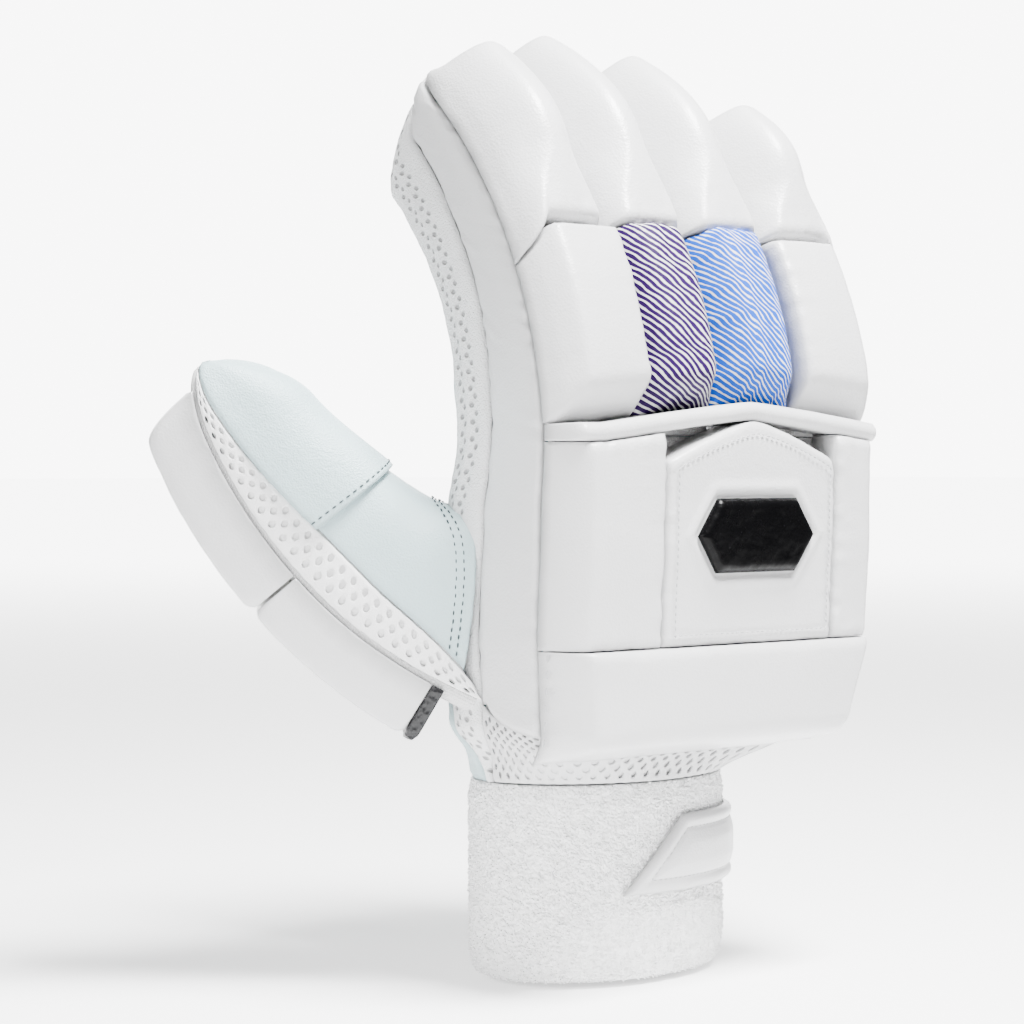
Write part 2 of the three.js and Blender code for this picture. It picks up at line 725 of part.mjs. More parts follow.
// Knuckle row and finger rolls: one pad of each to a finger
const KNUCKLE_LOOKS = [whiteLeather, violetPrint, bluePrint, whiteLeather];
const knuckleHigh = HAND_LENGTH + KNUCKLE_ROW_END;
FINGERS.forEach((finger, i) => {
  const half = (FINGER_PITCH - PAD_GAP) / 2;
  const padLeft = finger.centre - half;
  const padRight = finger.centre + half;
  const column = fingerColumns[i];
  const outer = i === 0 || i === FINGERS.length - 1;
  const soft = outer ? 0.4 : 1;
  const inner = outer ? 4 : PILLOW_EDGE;
  const over = (v) => pipingLow((mix(padLeft, padRight, v) - rowLeft) / (rowRight - rowLeft));
  add(
    `knuckle_pad_${finger.name}`,
    pad({
      column,
      from: (v) => over(v) + PIPING_WIDTH + SEAM_GAP,
      to: fixed(knuckleHigh),
      left: fixed(padLeft),
      right: fixed(padRight),
      height: fixed(PAD_HEIGHT),
      edges: {
        left: i === 0 ? BEVEL : inner,
        right: i === FINGERS.length - 1 ? BEVEL : inner,
        low: outer ? BEVEL : PILLOW_EDGE,
        high: outer ? 3 : 5,
      },
      soft,
    }),
    KNUCKLE_LOOKS[i],
  );
  const rollLength = column.end - knuckleHigh - PAD_GAP;
  const narrowing = (u) => {
    const into = clamp01((u - 1) * (rollLength / ROLL_END_ROUND) + 1);
    return mix(ROLL_END_WIDTH / 2, half, Math.sqrt(1 - into ** 2));
  };
  add(
    `finger_roll_${finger.name}`,
    pad({
      column,
      from: fixed(knuckleHigh + PAD_GAP),
      to: fixed(column.end),
      left: (u) => finger.centre - narrowing(u),
      right: (u) => finger.centre + narrowing(u),
      height: (u) => mix(PAD_HEIGHT, ROLL_HEIGHT, smooth(2 * u)),
      edges: { left: ROLL_EDGE, right: ROLL_EDGE, low: PAD_LIP, high: ROLL_END_ROUND },
      soft: 1,
    }),
    whiteLeather,
  );
});

// Thumb: leather over the ball of the thumb in two pieces, mesh down both sides, knit under the
// pads. All of it is trimmed at the hand.
const trimmed = (geometry) => cut(geometry, handSpace);
const thumbWall = { column: thumbColumn, low: fixed(0), thick: LEATHER_WALL };
const thumbLeather = { ...thumbWall, from: seam("half", 1), to: wrapped(seam("half", 1)), across: 10 };
const overlapLift = (s) => {
  const past = (s - THUMB_SEAM - THUMB_OVERLAP) / THUMB_LIFT_LENGTH;
  return (LEATHER_WALL + 2 * SEAM_GAP) * (1 - smooth(past));
};

add(
  "thumb_leather_base",
  trimmed(wall({ ...thumbLeather, high: fixed(THUMB_SEAM + THUMB_OVERLAP), rows: spread(6) })),
  palmLeather,
);
add(
  "thumb_leather_tip",
  wall({ ...thumbLeather, low: fixed(THUMB_SEAM), lift: overlapLift, rows: spread(4) }),
  palmLeather,
);
add(
  "thumb_back",
  trimmed(
    wall({
      ...thumbWall,
      from: seam("back", -1),
      to: mirrored(seam("back", -1)),
      thick: KNIT_WALL,
      across: 5,
      rows: spread(8),
    }),
  ),
  knit,
);
for (const [side, turned] of [
  ["front", mirrored],
  ["rear", (turn) => turn],
]) {
  add(
    `thumb_mesh_${side}`,
    trimmed(
      wall({
        ...thumbWall,
        high: fixed(THUMB_LENGTH - THUMB_TIP_ROUND),
        from: turned(seam("back", 1)),
        to: turned(seam("half", -1)),
        thick: LEATHER_WALL,
        across: 3,
        rows: spread(8),
      }),
    ),
    airMesh,
  );
}

const thumbPad = {
  column: thumbColumn,
  left: fixed(PAD_GAP - THUMB_WIDTH / 2),
  right: fixed(THUMB_WIDTH / 2 - PAD_GAP),
  height: fixed(THUMB_PAD_HEIGHT),
  edges: { left: 4, right: 4, low: 2, high: 3 },
};
add(
  "thumb_pad_base",
  pad({ ...thumbPad, from: fixed(THUMB_PAD_START), to: fixed(THUMB_PAD_SPLIT - PAD_GAP) }),
  whiteLeather,
);
add(
  "thumb_pad_tip",
  pad({
    ...thumbPad,
    from: fixed(THUMB_PAD_SPLIT),
    to: fixed(THUMB_LENGTH - THUMB_PAD_TIP_GAP),
    edges: { left: 4, right: 4, low: 3, high: 8 },
    soft: 0.9,
  }),
  whiteLeather,
);
add(
  "thumb_pad_liner",
  pad({
    ...thumbPad,
    from: fixed(THUMB_PAD_START - SEAM_GAP - THUMB_LINER_WALL),
    to: fixed(THUMB_PAD_START - SEAM_GAP),
    edges: { left: 4, right: 4, low: 0.5, high: 0.5 },
    openEnds: true,
    rows: 0,
  }),
  darkLining,
);

export default glove;
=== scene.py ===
import math

import bmesh
import bpy
import numpy as np
from bpy.props import FloatProperty, FloatVectorProperty, IntProperty, PointerProperty
from bpy.types import Operator, Panel, PropertyGroup
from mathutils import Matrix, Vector


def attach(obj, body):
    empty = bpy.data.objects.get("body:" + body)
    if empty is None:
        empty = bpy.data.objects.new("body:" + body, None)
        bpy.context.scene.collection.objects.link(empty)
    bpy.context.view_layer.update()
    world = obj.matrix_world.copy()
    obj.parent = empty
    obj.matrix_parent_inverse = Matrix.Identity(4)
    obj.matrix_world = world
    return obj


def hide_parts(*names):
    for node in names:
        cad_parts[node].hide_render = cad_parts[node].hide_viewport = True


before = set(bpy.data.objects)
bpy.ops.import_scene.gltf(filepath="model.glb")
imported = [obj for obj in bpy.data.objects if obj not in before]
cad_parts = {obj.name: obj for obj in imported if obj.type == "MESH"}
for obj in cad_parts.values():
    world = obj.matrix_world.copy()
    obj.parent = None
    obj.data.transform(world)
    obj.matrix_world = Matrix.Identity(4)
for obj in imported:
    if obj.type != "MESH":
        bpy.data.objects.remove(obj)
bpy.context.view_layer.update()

bl_info = {
    "name": "Cricket Batting Glove",
    "version": (1, 0, 0),
    "blender": (4, 5, 0),
    "location": "View3D > Sidebar > Glove",
    "description": "Dresses a padded batting glove round its packed frame",
    "category": "Add Mesh",
}

# The frame's own layout, in millimetres. A point on a column has s (up the back, from the top of the
# wristband), x (across) and height (out of the back).
MM = 0.001
SEAM_GAP = 0.4
LEATHER_WALL = 1.6
KNIT_WALL = 1.6
MESH_WALL = 2.2
TOWEL_WALL = 4.5
WRIST_HALF_WIDTH = 46
WRIST_HALF_DEPTH = 33
BAND_HEIGHT = 62
HEM_ROUND = 12
HEM_ROLL = 3
STRAP_WIDTH = 24
STRAP_RISE = 27
STRAP_WALL = 2.6
STRAP_SLANT = 20
STRAP_START_DEG = -7
STRAP_END_DEG = -172
HAND_LENGTH = 108
HAND_SHIFT = 7
HAND_DEPTH = 64
BACK_OFFSET = 46
WRIST_BLEND = 20
MESH_RISE = 21
MESH_DIP = 8
FINGER_PITCH = 33.8
FINGER_GAP = 0.8
FINGER_DEPTH = 53
FINGER_TIP_DEPTH = 45
TIP_ROUND = 12
KNUCKLE_BEND_DEG = 9
KNUCKLE_LENGTH = 12
TIP_WIDTH = 22
FINGERS = [
    {"name": "index", "length": 135, "radius": 160},
    {"name": "middle", "length": 148, "radius": 152},
    {"name": "ring", "length": 142, "radius": 152},
    {"name": "little", "length": 120, "radius": 146},
]
PAD_GAP = 1
OVERHANG = 0.9
PAD_HEIGHT = 13
BAR_HEIGHT = 15
BAR_RISE = 9
BAR_LENGTH = 34
BAR_TAPER = 11
BACK_ROW_LENGTH = 62
SIDE_PAD_WIDTH = 37
CENTRE_PAD_WIDTH = 73
CENTRE_PAD_ROOF = 8.5
PIPING_WIDTH = 5
PIPING_HEIGHT = 12
PIPING_ARCH = 8
PIPING_DROP = 1.8
KNUCKLE_ROW_END = 64
BEVEL = 8
PILLOW_EDGE = 11
CORNER_CUT = 11
ROLL_HEIGHT = 21
ROLL_END_ROUND = 18
ROLL_TIP_DROP = 3.5
ROLL_END_WIDTH = 22
ROLL_FOOT_DROP = 1.3
BADGE_WIDTH = 50
BADGE_LENGTH = 23
BADGE_POINT = 8
BADGE_WALL = 2
BADGE_RISE = 22
THUMB_LENGTH = 144
THUMB_RADIUS = 165
THUMB_WIDTH = 40
THUMB_DEPTH = 60
THUMB_TIP_DEPTH = 32
THUMB_TIP_ROUND = 24
THUMB_TIP_SINK = 8
THUMB_WEB_DEPTH = 16
THUMB_WEB_LENGTH = 55
THUMB_ROOT_SINK = 21
THUMB_ROOT_BEHIND = -2
THUMB_ROOT_RISE = 50
THUMB_AXIS = Vector((-0.757, 0.505, 0.417)).normalized()
THUMB_BACK = Vector((-0.318, 0.267, -0.91))
THUMB_SEAM = 78
THUMB_OVERLAP = 5
THUMB_LIFT_LENGTH = 45
THUMB_PAD_HEIGHT = 16
THUMB_PAD_START = 16
THUMB_PAD_SPLIT = 71
THUMB_PAD_TIP_GAP = 8
THUMB_LINER_WALL = 4
HAND_SHAPE = [
    {"up": 0, "width": 0.9, "depth": 0.98, "back": 0.9, "round": 2.6, "bar": 0.47, "welt": 0.52},
    {"up": 0.18, "width": 0.96, "depth": 1.06, "back": 0.92, "round": 2.8, "bar": 0.46, "welt": 0.7},
    {"up": 0.45, "width": 0.99, "depth": 1.11, "back": 0.95, "round": 3, "bar": 0.46, "welt": 0.84},
    {"up": 0.75, "width": 1, "depth": 1, "back": 0.98, "round": 3.4, "bar": 0.48, "welt": 0.86},
    {"up": 1, "width": 1, "depth": FINGER_DEPTH / HAND_DEPTH, "back": 1, "round": 5, "bar": 0.53,
     "welt": 0.87},
]
FINGER_SHAPE = [
    {"up": 0, "bar": 0.53, "welt": 0.87},
    {"up": 0.5, "bar": 0.46, "welt": 0.89},
    {"up": 1, "bar": 0.4, "welt": 0.92},
]
BACK_SEAM = 0.05
BACK_SQUARE = 14
LIP = 1.2
STEEP_EDGE = 3
STEEP_FOOT = 0.85
BAR_FOOT_ROUND = 7
BAR_OVERLAP = 1
SIDE_BLEND = 14
FINGER_SEAM = 0.62
FINGER_ROUND = 2.6
THUMB_MESH_LOW = 0.07
THUMB_MESH_WIDTH = 0.03
THUMB_MESH_BULGE = 0.27
LAST_FINGER = len(FINGERS) - 1

HAND_HALF_WIDTH = (len(FINGERS) * FINGER_PITCH - FINGER_GAP) / 2
ROW_LEFT = HAND_SHIFT - HAND_HALF_WIDTH
ROW_RIGHT = HAND_SHIFT + HAND_HALF_WIDTH
BACK_ROW_LOW = BAR_RISE + BAR_LENGTH + PAD_GAP
BACK_ROW_HIGH = BACK_ROW_LOW + BACK_ROW_LENGTH
CENTRE_LEFT = ROW_LEFT + SIDE_PAD_WIDTH + PAD_GAP
CENTRE_RIGHT = CENTRE_LEFT + CENTRE_PAD_WIDTH
RIDGE = (CENTRE_LEFT + CENTRE_RIGHT) / 2
KNUCKLE_HIGH = HAND_LENGTH + KNUCKLE_ROW_END

# How leather, cloth and stuffing are finished, in millimetres and shares
TIP_CLOSING = 0.998
FOOT_CLOSING = 0.97
WALL_STEP_SHARE = 1.6
SAMPLES = 60
# SEAM_SHADE_WIDTH and UPRIGHT_SHADE set painted shade: how wide it is at a seam, and how much of it the top
# edge of an upright side gets
SEAM_SHADE_WIDTH = 0.6
UPRIGHT_SHADE = 0.3
PAD_ROUNDING = 0.22
PAD_RIDGE = 0.05
TIGHT_EDGE = 2.2
PAD_EDGE = 2.6
THUMB_PAD_EDGE = 4
GATHER_REACH = 4.0
STITCH_SHARE = 0.62
STUFFING_PRESSURE = 4
STUFFING_FRAMES = 20
HELD_EDGE = 0.75
STRAP_BORDER = 4.2
NEEDLE_ROW = 2.7

# Values of the materials
COAT_ROUGHNESS = 0.28
SHEEN_ROUGHNESS = 0.6
TONE_LOW = 0.3
TONE_HIGH = 0.7
SHADE_SHARE = 0.25
# NEEDLE_SHADE is painted shade in the needle holes
NEEDLE_SHADE = 0.82

# The stage: angles in degrees, the camera in millimetres, and the lights and the floor in metres
CAMERA_AZIMUTH = -40
CAMERA_ELEVATION = 1
CAMERA_DISTANCE = 850
CAMERA_TARGET = (-19.5, 19.7, 146)
CAMERA_LENS = 91.9
ROOM_LEVEL = 0.4
BACKDROP_LEVEL = 8.5
# FLOOR_GLOW is painted light: how brightly the floor glows near the glove
FLOOR_GLOW = 0.9
FLOOR_SIZE = 30.0
FLOOR_LEVEL = -0.002
LIGHTS = [
    ("Key", (0.08, -0.45, 1.0), 94, 0.4),
    ("Fill", (-0.95, -0.25, 0.12), 11, 0.7),
]


class GloveSizes(PropertyGroup):
    """Sizes of the finish that a user would change."""

    grid_step: FloatProperty(
        name="Grid Step", description="Spacing of the points of a leather surface",
        default=0.0011, min=0.0006, max=0.003, unit="LENGTH")
    seam_depth: FloatProperty(
        name="Seam Depth", description="How far leather turns in at a seam",
        default=0.0009, min=0, max=0.003, unit="LENGTH")
    pucker_depth: FloatProperty(
        name="Pucker Depth", description="Height of the small gathers along the seams",
        default=0.0005, min=0, max=0.002, unit="LENGTH")
    pad_crown: FloatProperty(
        name="Pad Crown", description="How far the middle of a flat pad stands proud",
        default=0.0008, min=0, max=0.004, unit="LENGTH")
    pillow_rise: FloatProperty(
        name="Pillow Rise", description="Most that simulated stuffing may move a point",
        default=0.0022, min=0, max=0.006, unit="LENGTH")
    stitch_pitch: FloatProperty(
        name="Stitch Pitch", description="Distance from one stitch to the next",
        default=0.0026, min=0.001, max=0.01, unit="LENGTH")
    stitch_width: FloatProperty(
        name="Stitch Width", description="Thickness of the sewing thread",
        default=0.0006, min=0.0002, max=0.002, unit="LENGTH")
    hole_pitch: FloatProperty(
        name="Mesh Pitch", description="Distance between the holes of the air mesh",
        default=0.0055, min=0.002, max=0.008, unit="LENGTH")
    hole_share: FloatProperty(
        name="Mesh Opening", description="Width of a hole as a share of its cell",
        default=0.62, min=0.2, max=0.9)
    loop_height: FloatProperty(
        name="Towel Loop Height", description="Height of a loop of the towelling",
        default=0.0008, min=0.0005, max=0.004, unit="LENGTH")
    loop_count: IntProperty(
        name="Towel Loops", description="Number of loops on the wristband", default=9000, min=0, max=12000)


def colour(name, text, red, green, blue):
    return FloatVectorProperty(
        name=name, description=text, subtype="COLOR", size=3, min=0, max=1, default=(red, green, blue))


class GloveColours(PropertyGroup):
    """Colours of the finish that a user would change."""

    white_leather: colour("White Leather", "Coated leather of the pads", 0.62, 0.62, 0.625)
    palm_leather: colour("Palm Leather", "Soft leather of the palm and the thumb", 0.42, 0.55, 0.57)
    suede: colour("Suede", "Brushed strips down the sides", 0.72, 0.725, 0.73)
    knit: colour("Knit", "Cloth under the pads", 0.66, 0.66, 0.66)
    air_mesh: colour("Air Mesh", "Open mesh of the thumb", 0.82, 0.82, 0.82)
    # Painted shade: the wrist mesh is the same cloth as the air mesh, coloured darker for the shade beneath
    # the wrist bar
    wrist_mesh: colour("Wrist Mesh", "Open mesh of the wrist", 0.55, 0.55, 0.555)
    towelling: colour("Towelling", "Looped cloth of the wristband", 0.95, 0.95, 0.95)
    violet_ink: colour("Violet Ink", "Hatching of the middle knuckle pad", 0.014, 0.001, 0.045)
    blue_ink: colour("Blue Ink", "Hatching of the ring knuckle pad", 0.0, 0.06, 0.42)
    gel: colour("Gel", "Badge", 0.001, 0.001, 0.0012)
    # The colour of the near-black sheet at the root end of the base thumb pad
    lining: colour("Lining", "Dark lining at the end of the thumb pad", 0.012, 0.012, 0.013)
    thread: colour("Thread", "Sewing thread of the thumb", 0.03, 0.045, 0.05)
    pale_thread: colour("Pale Thread", "Sewing thread of the pads", 0.42, 0.42, 0.43)


def sizes():
    return bpy.context.scene.glove_sizes


def colours():
    return bpy.context.scene.glove_colours


# Small sums on arrays
def clamp01(value):
    return np.clip(value, 0.0, 1.0)


def mix(low, high, share):
    return low + (high - low) * share


def smooth(share):
    share = clamp01(share)
    return share * share * (3 - 2 * share)


def constant(value):
    """A rule that gives the same value at every turn or share."""
    return lambda at: value + 0 * at


def ramp(share, softness):
    """A slope from 0 to 1 whose top edge is rounded."""
    over = np.clip(share - 1 + softness, 0, 2 * softness)
    return np.minimum(np.maximum(share, 0), 1 + softness) - over**2 / (4 * softness) - np.maximum(
        np.minimum(share, 1 + softness) - 1 - softness, 0)


def lower_of(a, b, softness):
    """The lower of two values, with a rounded corner between them."""
    share = clamp01(0.5 + (b - a) / (2 * softness))
    return mix(b, a, share) - softness * share * (1 - share)


def lattice(i, j, seed):
    """A repeatable number from -1 to 1 for each whole point."""
    n = (i.astype(np.int64) * 73856093) ^ (j.astype(np.int64) * 19349663) ^ np.int64(seed * 83492791)
    n = n & 0xFFFFF
    n = (n * (n * n * 15731 + 789221) + 1376312589) & 0x7FFFFFFF
    return 1 - n / 1073741824.0


def noise(x, y, seed):
    """Smooth repeatable unevenness from -1 to 1, with features one unit wide."""
    i = np.floor(x)
    j = np.floor(y)
    u = smooth(x - i)
    v = smooth(y - j)
    low = mix(lattice(i, j, seed), lattice(i + 1, j, seed), u)
    high = mix(lattice(i, j + 1, seed), lattice(i + 1, j + 1, seed), u)
    return mix(low, high, v)


def from_table(rows, at, key):
    """A value of a shape table, eased from row to row."""
    ups = np.array([row["up"] for row in rows], float)
    values = np.array([row[key] for row in rows], float)
    at = np.clip(at, ups[0], ups[-1])
    k = np.clip(np.searchsorted(ups, at), 1, len(rows) - 1)
    return mix(values[k - 1], values[k], smooth((at - ups[k - 1]) / (ups[k] - ups[k - 1])))


# Columns: cross-sections, and where s, x and height lie in space
def tip_share(s, end, length):
    """How full a rounded tip still is: 1 up to its start and nearly 0 at its end."""
    return np.sqrt(1 - TIP_CLOSING * clamp01((s - (end - length)) / length) ** 2)


def finger_centre(i):
    return HAND_SHIFT + (i - LAST_FINGER / 2) * FINGER_PITCH


def bend(radius, s, x, height):
    """The back past the hand: an arc at the knuckle, then an arc of the finger's own radius."""
    knuckle_radius = KNUCKLE_LENGTH / math.radians(KNUCKLE_BEND_DEG)
    first = np.minimum(s - HAND_LENGTH, KNUCKLE_LENGTH) / knuckle_radius
    angle = first + np.maximum(0, s - HAND_LENGTH - KNUCKLE_LENGTH) / radius
    y = knuckle_radius * (1 - np.cos(first)) + radius * (np.cos(first) - np.cos(angle))
    z = knuckle_radius * np.sin(first) + radius * (np.sin(angle) - np.sin(first))
    y = y - BACK_OFFSET - height * np.cos(angle)
    z = BAND_HEIGHT + HAND_LENGTH + z + height * np.sin(angle)
    return np.stack(np.broadcast_arrays(x, y, z), axis=-1)


class HandColumn:
    """The hand, from the wristband to the knuckles."""

    end = HAND_LENGTH
    radius = FINGERS[0]["radius"]

    def section(self, s, inset=0.0):
        up = clamp01(s / HAND_LENGTH)
        blend = smooth(s / WRIST_BLEND)

        def size(wrist, key, full):
            return mix(wrist, full * from_table(HAND_SHAPE, up, key), blend)

        return {
            "centre": mix(0, HAND_SHIFT, blend),
            "half_width": size(WRIST_HALF_WIDTH, "width", HAND_HALF_WIDTH) - inset,
            "half_depth": size(WRIST_HALF_DEPTH, "depth", HAND_DEPTH / 2) - inset,
            "back": size(WRIST_HALF_DEPTH, "back", BACK_OFFSET),
            "back_power": mix(2, BACK_SQUARE, blend),
            "palm_power": size(2, "round", 1),
            "seams": {
                "back": BACK_SEAM + 0 * up,
                "bar": from_table(HAND_SHAPE, up, "bar"),
                "welt": from_table(HAND_SHAPE, up, "welt"),
            },
        }

    def place(self, s, x, height):
        s, x, height = np.broadcast_arrays(np.asarray(s, float), x, height)
        flat = np.stack([x, -self.section(s)["back"] - height, BAND_HEIGHT + s], axis=-1)
        curved = bend(self.radius, np.maximum(s, HAND_LENGTH), x, height)
        return np.where((s > HAND_LENGTH)[..., None], curved, flat)


HAND = HandColumn()


class FingerColumn(HandColumn):
    """A finger, which starts where the hand ends."""

    def __init__(self, i):
        self.name = FINGERS[i]["name"]
        self.centre = finger_centre(i)
        self.length = FINGERS[i]["length"]
        self.radius = FINGERS[i]["radius"]
        self.end = HAND_LENGTH + self.length

    def section(self, s, inset=0.0):
        t = clamp01((s - HAND_LENGTH) / self.length)
        tip = tip_share(s, self.end - inset, TIP_ROUND)
        half_width = (FINGER_PITCH - FINGER_GAP) / 2 - inset
        return {
            "centre": self.centre,
            "half_width": mix(TIP_WIDTH / 2 - inset, half_width, tip),
            "half_depth": (mix(FINGER_DEPTH, FINGER_TIP_DEPTH, t) / 2 - inset) * tip,
            "back": HAND.section(s)["back"],
            "back_power": BACK_SQUARE,
            "palm_power": mix(HAND_SHAPE[-1]["round"], FINGER_ROUND, smooth(3 * t)),
            "seams": {
                "back": BACK_SEAM + 0 * t,
                "bar": from_table(FINGER_SHAPE, t, "bar"),
                "welt": from_table(FINGER_SHAPE, t, "welt"),
                "half": FINGER_SEAM + 0 * t,
            },
        }


THUMB_SIDE = THUMB_AXIS.cross(THUMB_BACK).normalized()
THUMB_PALMWARD = THUMB_AXIS.cross(THUMB_SIDE).normalized()
THUMB_TURN = np.array([THUMB_SIDE, THUMB_PALMWARD, THUMB_AXIS])
THUMB_ROOT = np.array(
    [ROW_LEFT + THUMB_ROOT_SINK, THUMB_ROOT_BEHIND, BAND_HEIGHT + THUMB_ROOT_RISE], float)


class ThumbColumn:
    """The thumb, which leans out of the hand's side."""

    end = THUMB_LENGTH

    def section(self, s, inset=0.0):
        t = clamp01(s / THUMB_LENGTH)
        tip = tip_share(s, THUMB_LENGTH - inset, THUMB_TIP_ROUND)
        web = THUMB_WEB_DEPTH * (1 - smooth(s / THUMB_WEB_LENGTH))
        depth = (mix(THUMB_DEPTH, THUMB_TIP_DEPTH, t) + web) / 2 - inset
        return {
            "centre": 0,
            "half_width": mix(TIP_WIDTH / 2 - inset, THUMB_WIDTH / 2 - inset, tip),
            "half_depth": depth * tip,
            "back_power": BACK_SQUARE / 2,
            "palm_power": 2.5,
            "seams": {
                "back": THUMB_MESH_LOW + 0 * t,
                "half": THUMB_MESH_LOW + THUMB_MESH_WIDTH + THUMB_MESH_BULGE * np.sin(math.pi * t),
            },
        }

    def place(self, s, x, height):
        angle = s / THUMB_RADIUS
        closing = 1 - tip_share(s, THUMB_LENGTH, THUMB_TIP_ROUND)
        reach = THUMB_RADIUS + height - THUMB_TIP_SINK * closing
        y = THUMB_RADIUS - THUMB_DEPTH / 2 - reach * np.cos(angle)
        local = np.stack(np.broadcast_arrays(x, y, reach * np.sin(angle)), axis=-1)
        return local @ THUMB_TURN + THUMB_ROOT


class SideColumn(HandColumn):
    """The hand's side that runs on up an outer finger."""

    def __init__(self, finger):
        self.finger = finger
        self.end = finger.end

    def section(self, s, inset=0.0):
        share = smooth((s - HAND_LENGTH + SIDE_BLEND / 2) / SIDE_BLEND)
        low = HAND.section(s, inset)
        high = self.finger.section(s, inset)
        form = {key: mix(low[key], high[key], share) for key in low if key != "seams"}
        form["seams"] = {key: mix(low["seams"][key], high["seams"][key], share) for key in low["seams"]}
        return form

    def place(self, s, x, height):
        return self.finger.place(s, x, height)


THUMB = ThumbColumn()
FINGER_COLUMNS = [FingerColumn(i) for i in range(len(FINGERS))]


def ring(column, s, turn, inset=0.0):
    """A point of the cross-section. The turn is 0 on the back, 90 at the thumb side, 180 on the palm."""
    form = column.section(s, inset)
    angle = np.radians(turn)
    across = np.sin(angle)
    out = np.cos(angle)
    power = np.where(out > 0, form["back_power"], form["palm_power"])
    reach = (np.abs(across) ** power + np.abs(out) ** power) ** (-1 / power)
    x = form["centre"] - form["half_width"] * across * reach
    return column.place(s, x, form["half_depth"] * (out * reach - 1) - inset)


def seam(name, side):
    """The turn of a seam: side is 1 for the edge of the band on its palm side, -1 on its back side."""
    def turn(form):
        out = 1 - 2 * form["seams"][name]
        power = np.where(out > 0, form["back_power"], form["palm_power"])
        across = (1 - np.abs(out) ** power) ** (1 / power)
        half = np.degrees(SEAM_GAP / 2 / np.maximum(form["half_depth"], 4))
        return np.degrees(np.arctan2(across, out)) + side * half
    return turn


def as_is(turn):
    return turn


def mirrored(turn):
    return lambda form: -turn(form)


def wrapped(turn):
    return lambda form: 360 - turn(form)


def mesh_top(turn):
    """Where the wrist mesh ends. It runs up round the rounded foot of each side bar."""
    into = clamp01((np.abs(turn) - 58) / 28)
    foot = BAR_FOOT_ROUND * (1 - np.sqrt(1 - FOOT_CLOSING * into**2))
    return MESH_RISE - MESH_DIP * np.cos(np.radians(turn)) ** 2 + foot


def sunk(column, s, x):
    """How far the rounded edge of the back lies below its middle, no deeper than its seam."""
    form = column.section(s)
    share = np.minimum(np.abs(x - form["centre"]) / form["half_width"], 1)
    power = form["back_power"]
    drop = form["half_depth"] * ((1 - share**power) ** (1 / power) - 1)
    return np.maximum(drop, -2 * BACK_SEAM * form["half_depth"])


def outside_hand(points):
    """Above 0 where a point lies outside the hand's wall."""
    s = np.clip(points[..., 2] - BAND_HEIGHT, 0, HAND_LENGTH)
    form = HAND.section(s)
    x = (points[..., 0] - form["centre"]) / form["half_width"]
    y = (points[..., 1] + form["back"] - form["half_depth"]) / form["half_depth"]
    power = np.where(y < 0, form["back_power"], form["palm_power"])
    return np.abs(x) ** power + np.abs(y) ** power - 1


# Meshes from grids
def arc_lengths(points, axis):
    steps = np.linalg.norm(np.diff(points, axis=axis), axis=-1)
    zero = np.zeros_like(np.take(steps, [0], axis=axis))
    return np.concatenate([zero, np.cumsum(steps, axis=axis)], axis=axis)


def sheet_mesh(name, outer, inner, flat, edge, wrap=False, under=None):
    """A closed sheet from two grids of points in millimetres. flat is the place of each column and row
    on the cloth before it was sewn, and edge is painted shade, 1 at a seam, on the inner face too
    unless under gives its value. With wrap the last column meets the first, and is left out."""
    rows, cols = outer.shape[:2]
    spans = cols - 1
    used = spans if wrap else cols
    i, j = np.meshgrid(np.arange(rows - 1), np.arange(spans), indexing="ij")

    def corner(layer, row, col):
        return np.stack([np.full(row.shape, layer), row, col], axis=-1).reshape(-1, 3)

    def quads(a, b, c, d):
        return np.stack([a, b, c, d], axis=1)

    front = quads(corner(0, i, j), corner(0, i + 1, j), corner(0, i + 1, j + 1), corner(0, i, j + 1))
    rear = quads(corner(1, i, j), corner(1, i, j + 1), corner(1, i + 1, j + 1), corner(1, i + 1, j))
    j1 = np.arange(spans)
    low = np.zeros(spans, int)
    top = low + rows - 1
    faces = [
        front, rear,
        quads(corner(1, low, j1), corner(0, low, j1), corner(0, low, j1 + 1), corner(1, low, j1 + 1)),
        quads(corner(0, top, j1), corner(1, top, j1), corner(1, top, j1 + 1), corner(0, top, j1 + 1)),
    ]
    if not wrap:
        i1 = np.arange(rows - 1)
        left = np.zeros(rows - 1, int)
        last = left + spans
        faces.append(quads(
            corner(0, i1, left), corner(1, i1, left), corner(1, i1 + 1, left), corner(0, i1 + 1, left)))
        faces.append(quads(
            corner(1, i1, last), corner(0, i1, last), corner(0, i1 + 1, last), corner(1, i1 + 1, last)))
    corners = np.concatenate(faces)
    index = (corners[..., 0] * rows + corners[..., 1]) * used + corners[..., 2] % used
    points = np.concatenate([outer[:, :used].reshape(-1, 3), inner[:, :used].reshape(-1, 3)]) * MM
    mesh = bpy.data.meshes.new(name)
    mesh.from_pydata(points.tolist(), [], index.tolist())
    place = flat[corners[..., 1], corners[..., 2]] * MM
    layer = mesh.uv_layers.new(name="flat")
    layer.data.foreach_set("uv", place.reshape(-1))
    # The edge attribute carries painted shade that darkens the material at seams and in the gaps between
    # parts
    mark = mesh.attributes.new("edge", "FLOAT", "POINT")
    outside = edge[:, :used].reshape(-1)
    inside = outside if under is None else np.full(outside.shape, float(under))
    mark.data.foreach_set("value", np.concatenate([outside, inside]))
    triangles = points[index[:, :3]]
    volume = np.einsum("ij,ij->i", triangles[:, 0], np.cross(triangles[:, 1], triangles[:, 2])).sum()
    triangles = points[index[:, [0, 2, 3]]]
    volume += np.einsum("ij,ij->i", triangles[:, 0], np.cross(triangles[:, 1], triangles[:, 2])).sum()
    if volume < 0:
        mesh.flip_normals()
    mesh.shade_smooth()
    return mesh


def new_piece(name, mesh, material):
    piece = bpy.data.objects.new(name, mesh)
    bpy.context.scene.collection.objects.link(piece)
    if material and not mesh.materials:
        mesh.materials.append(material)
    return piece


def finish_piece(piece, slot, *nodes):
    if nodes:
        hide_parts(*nodes)
    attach(piece, "root")
    return piece


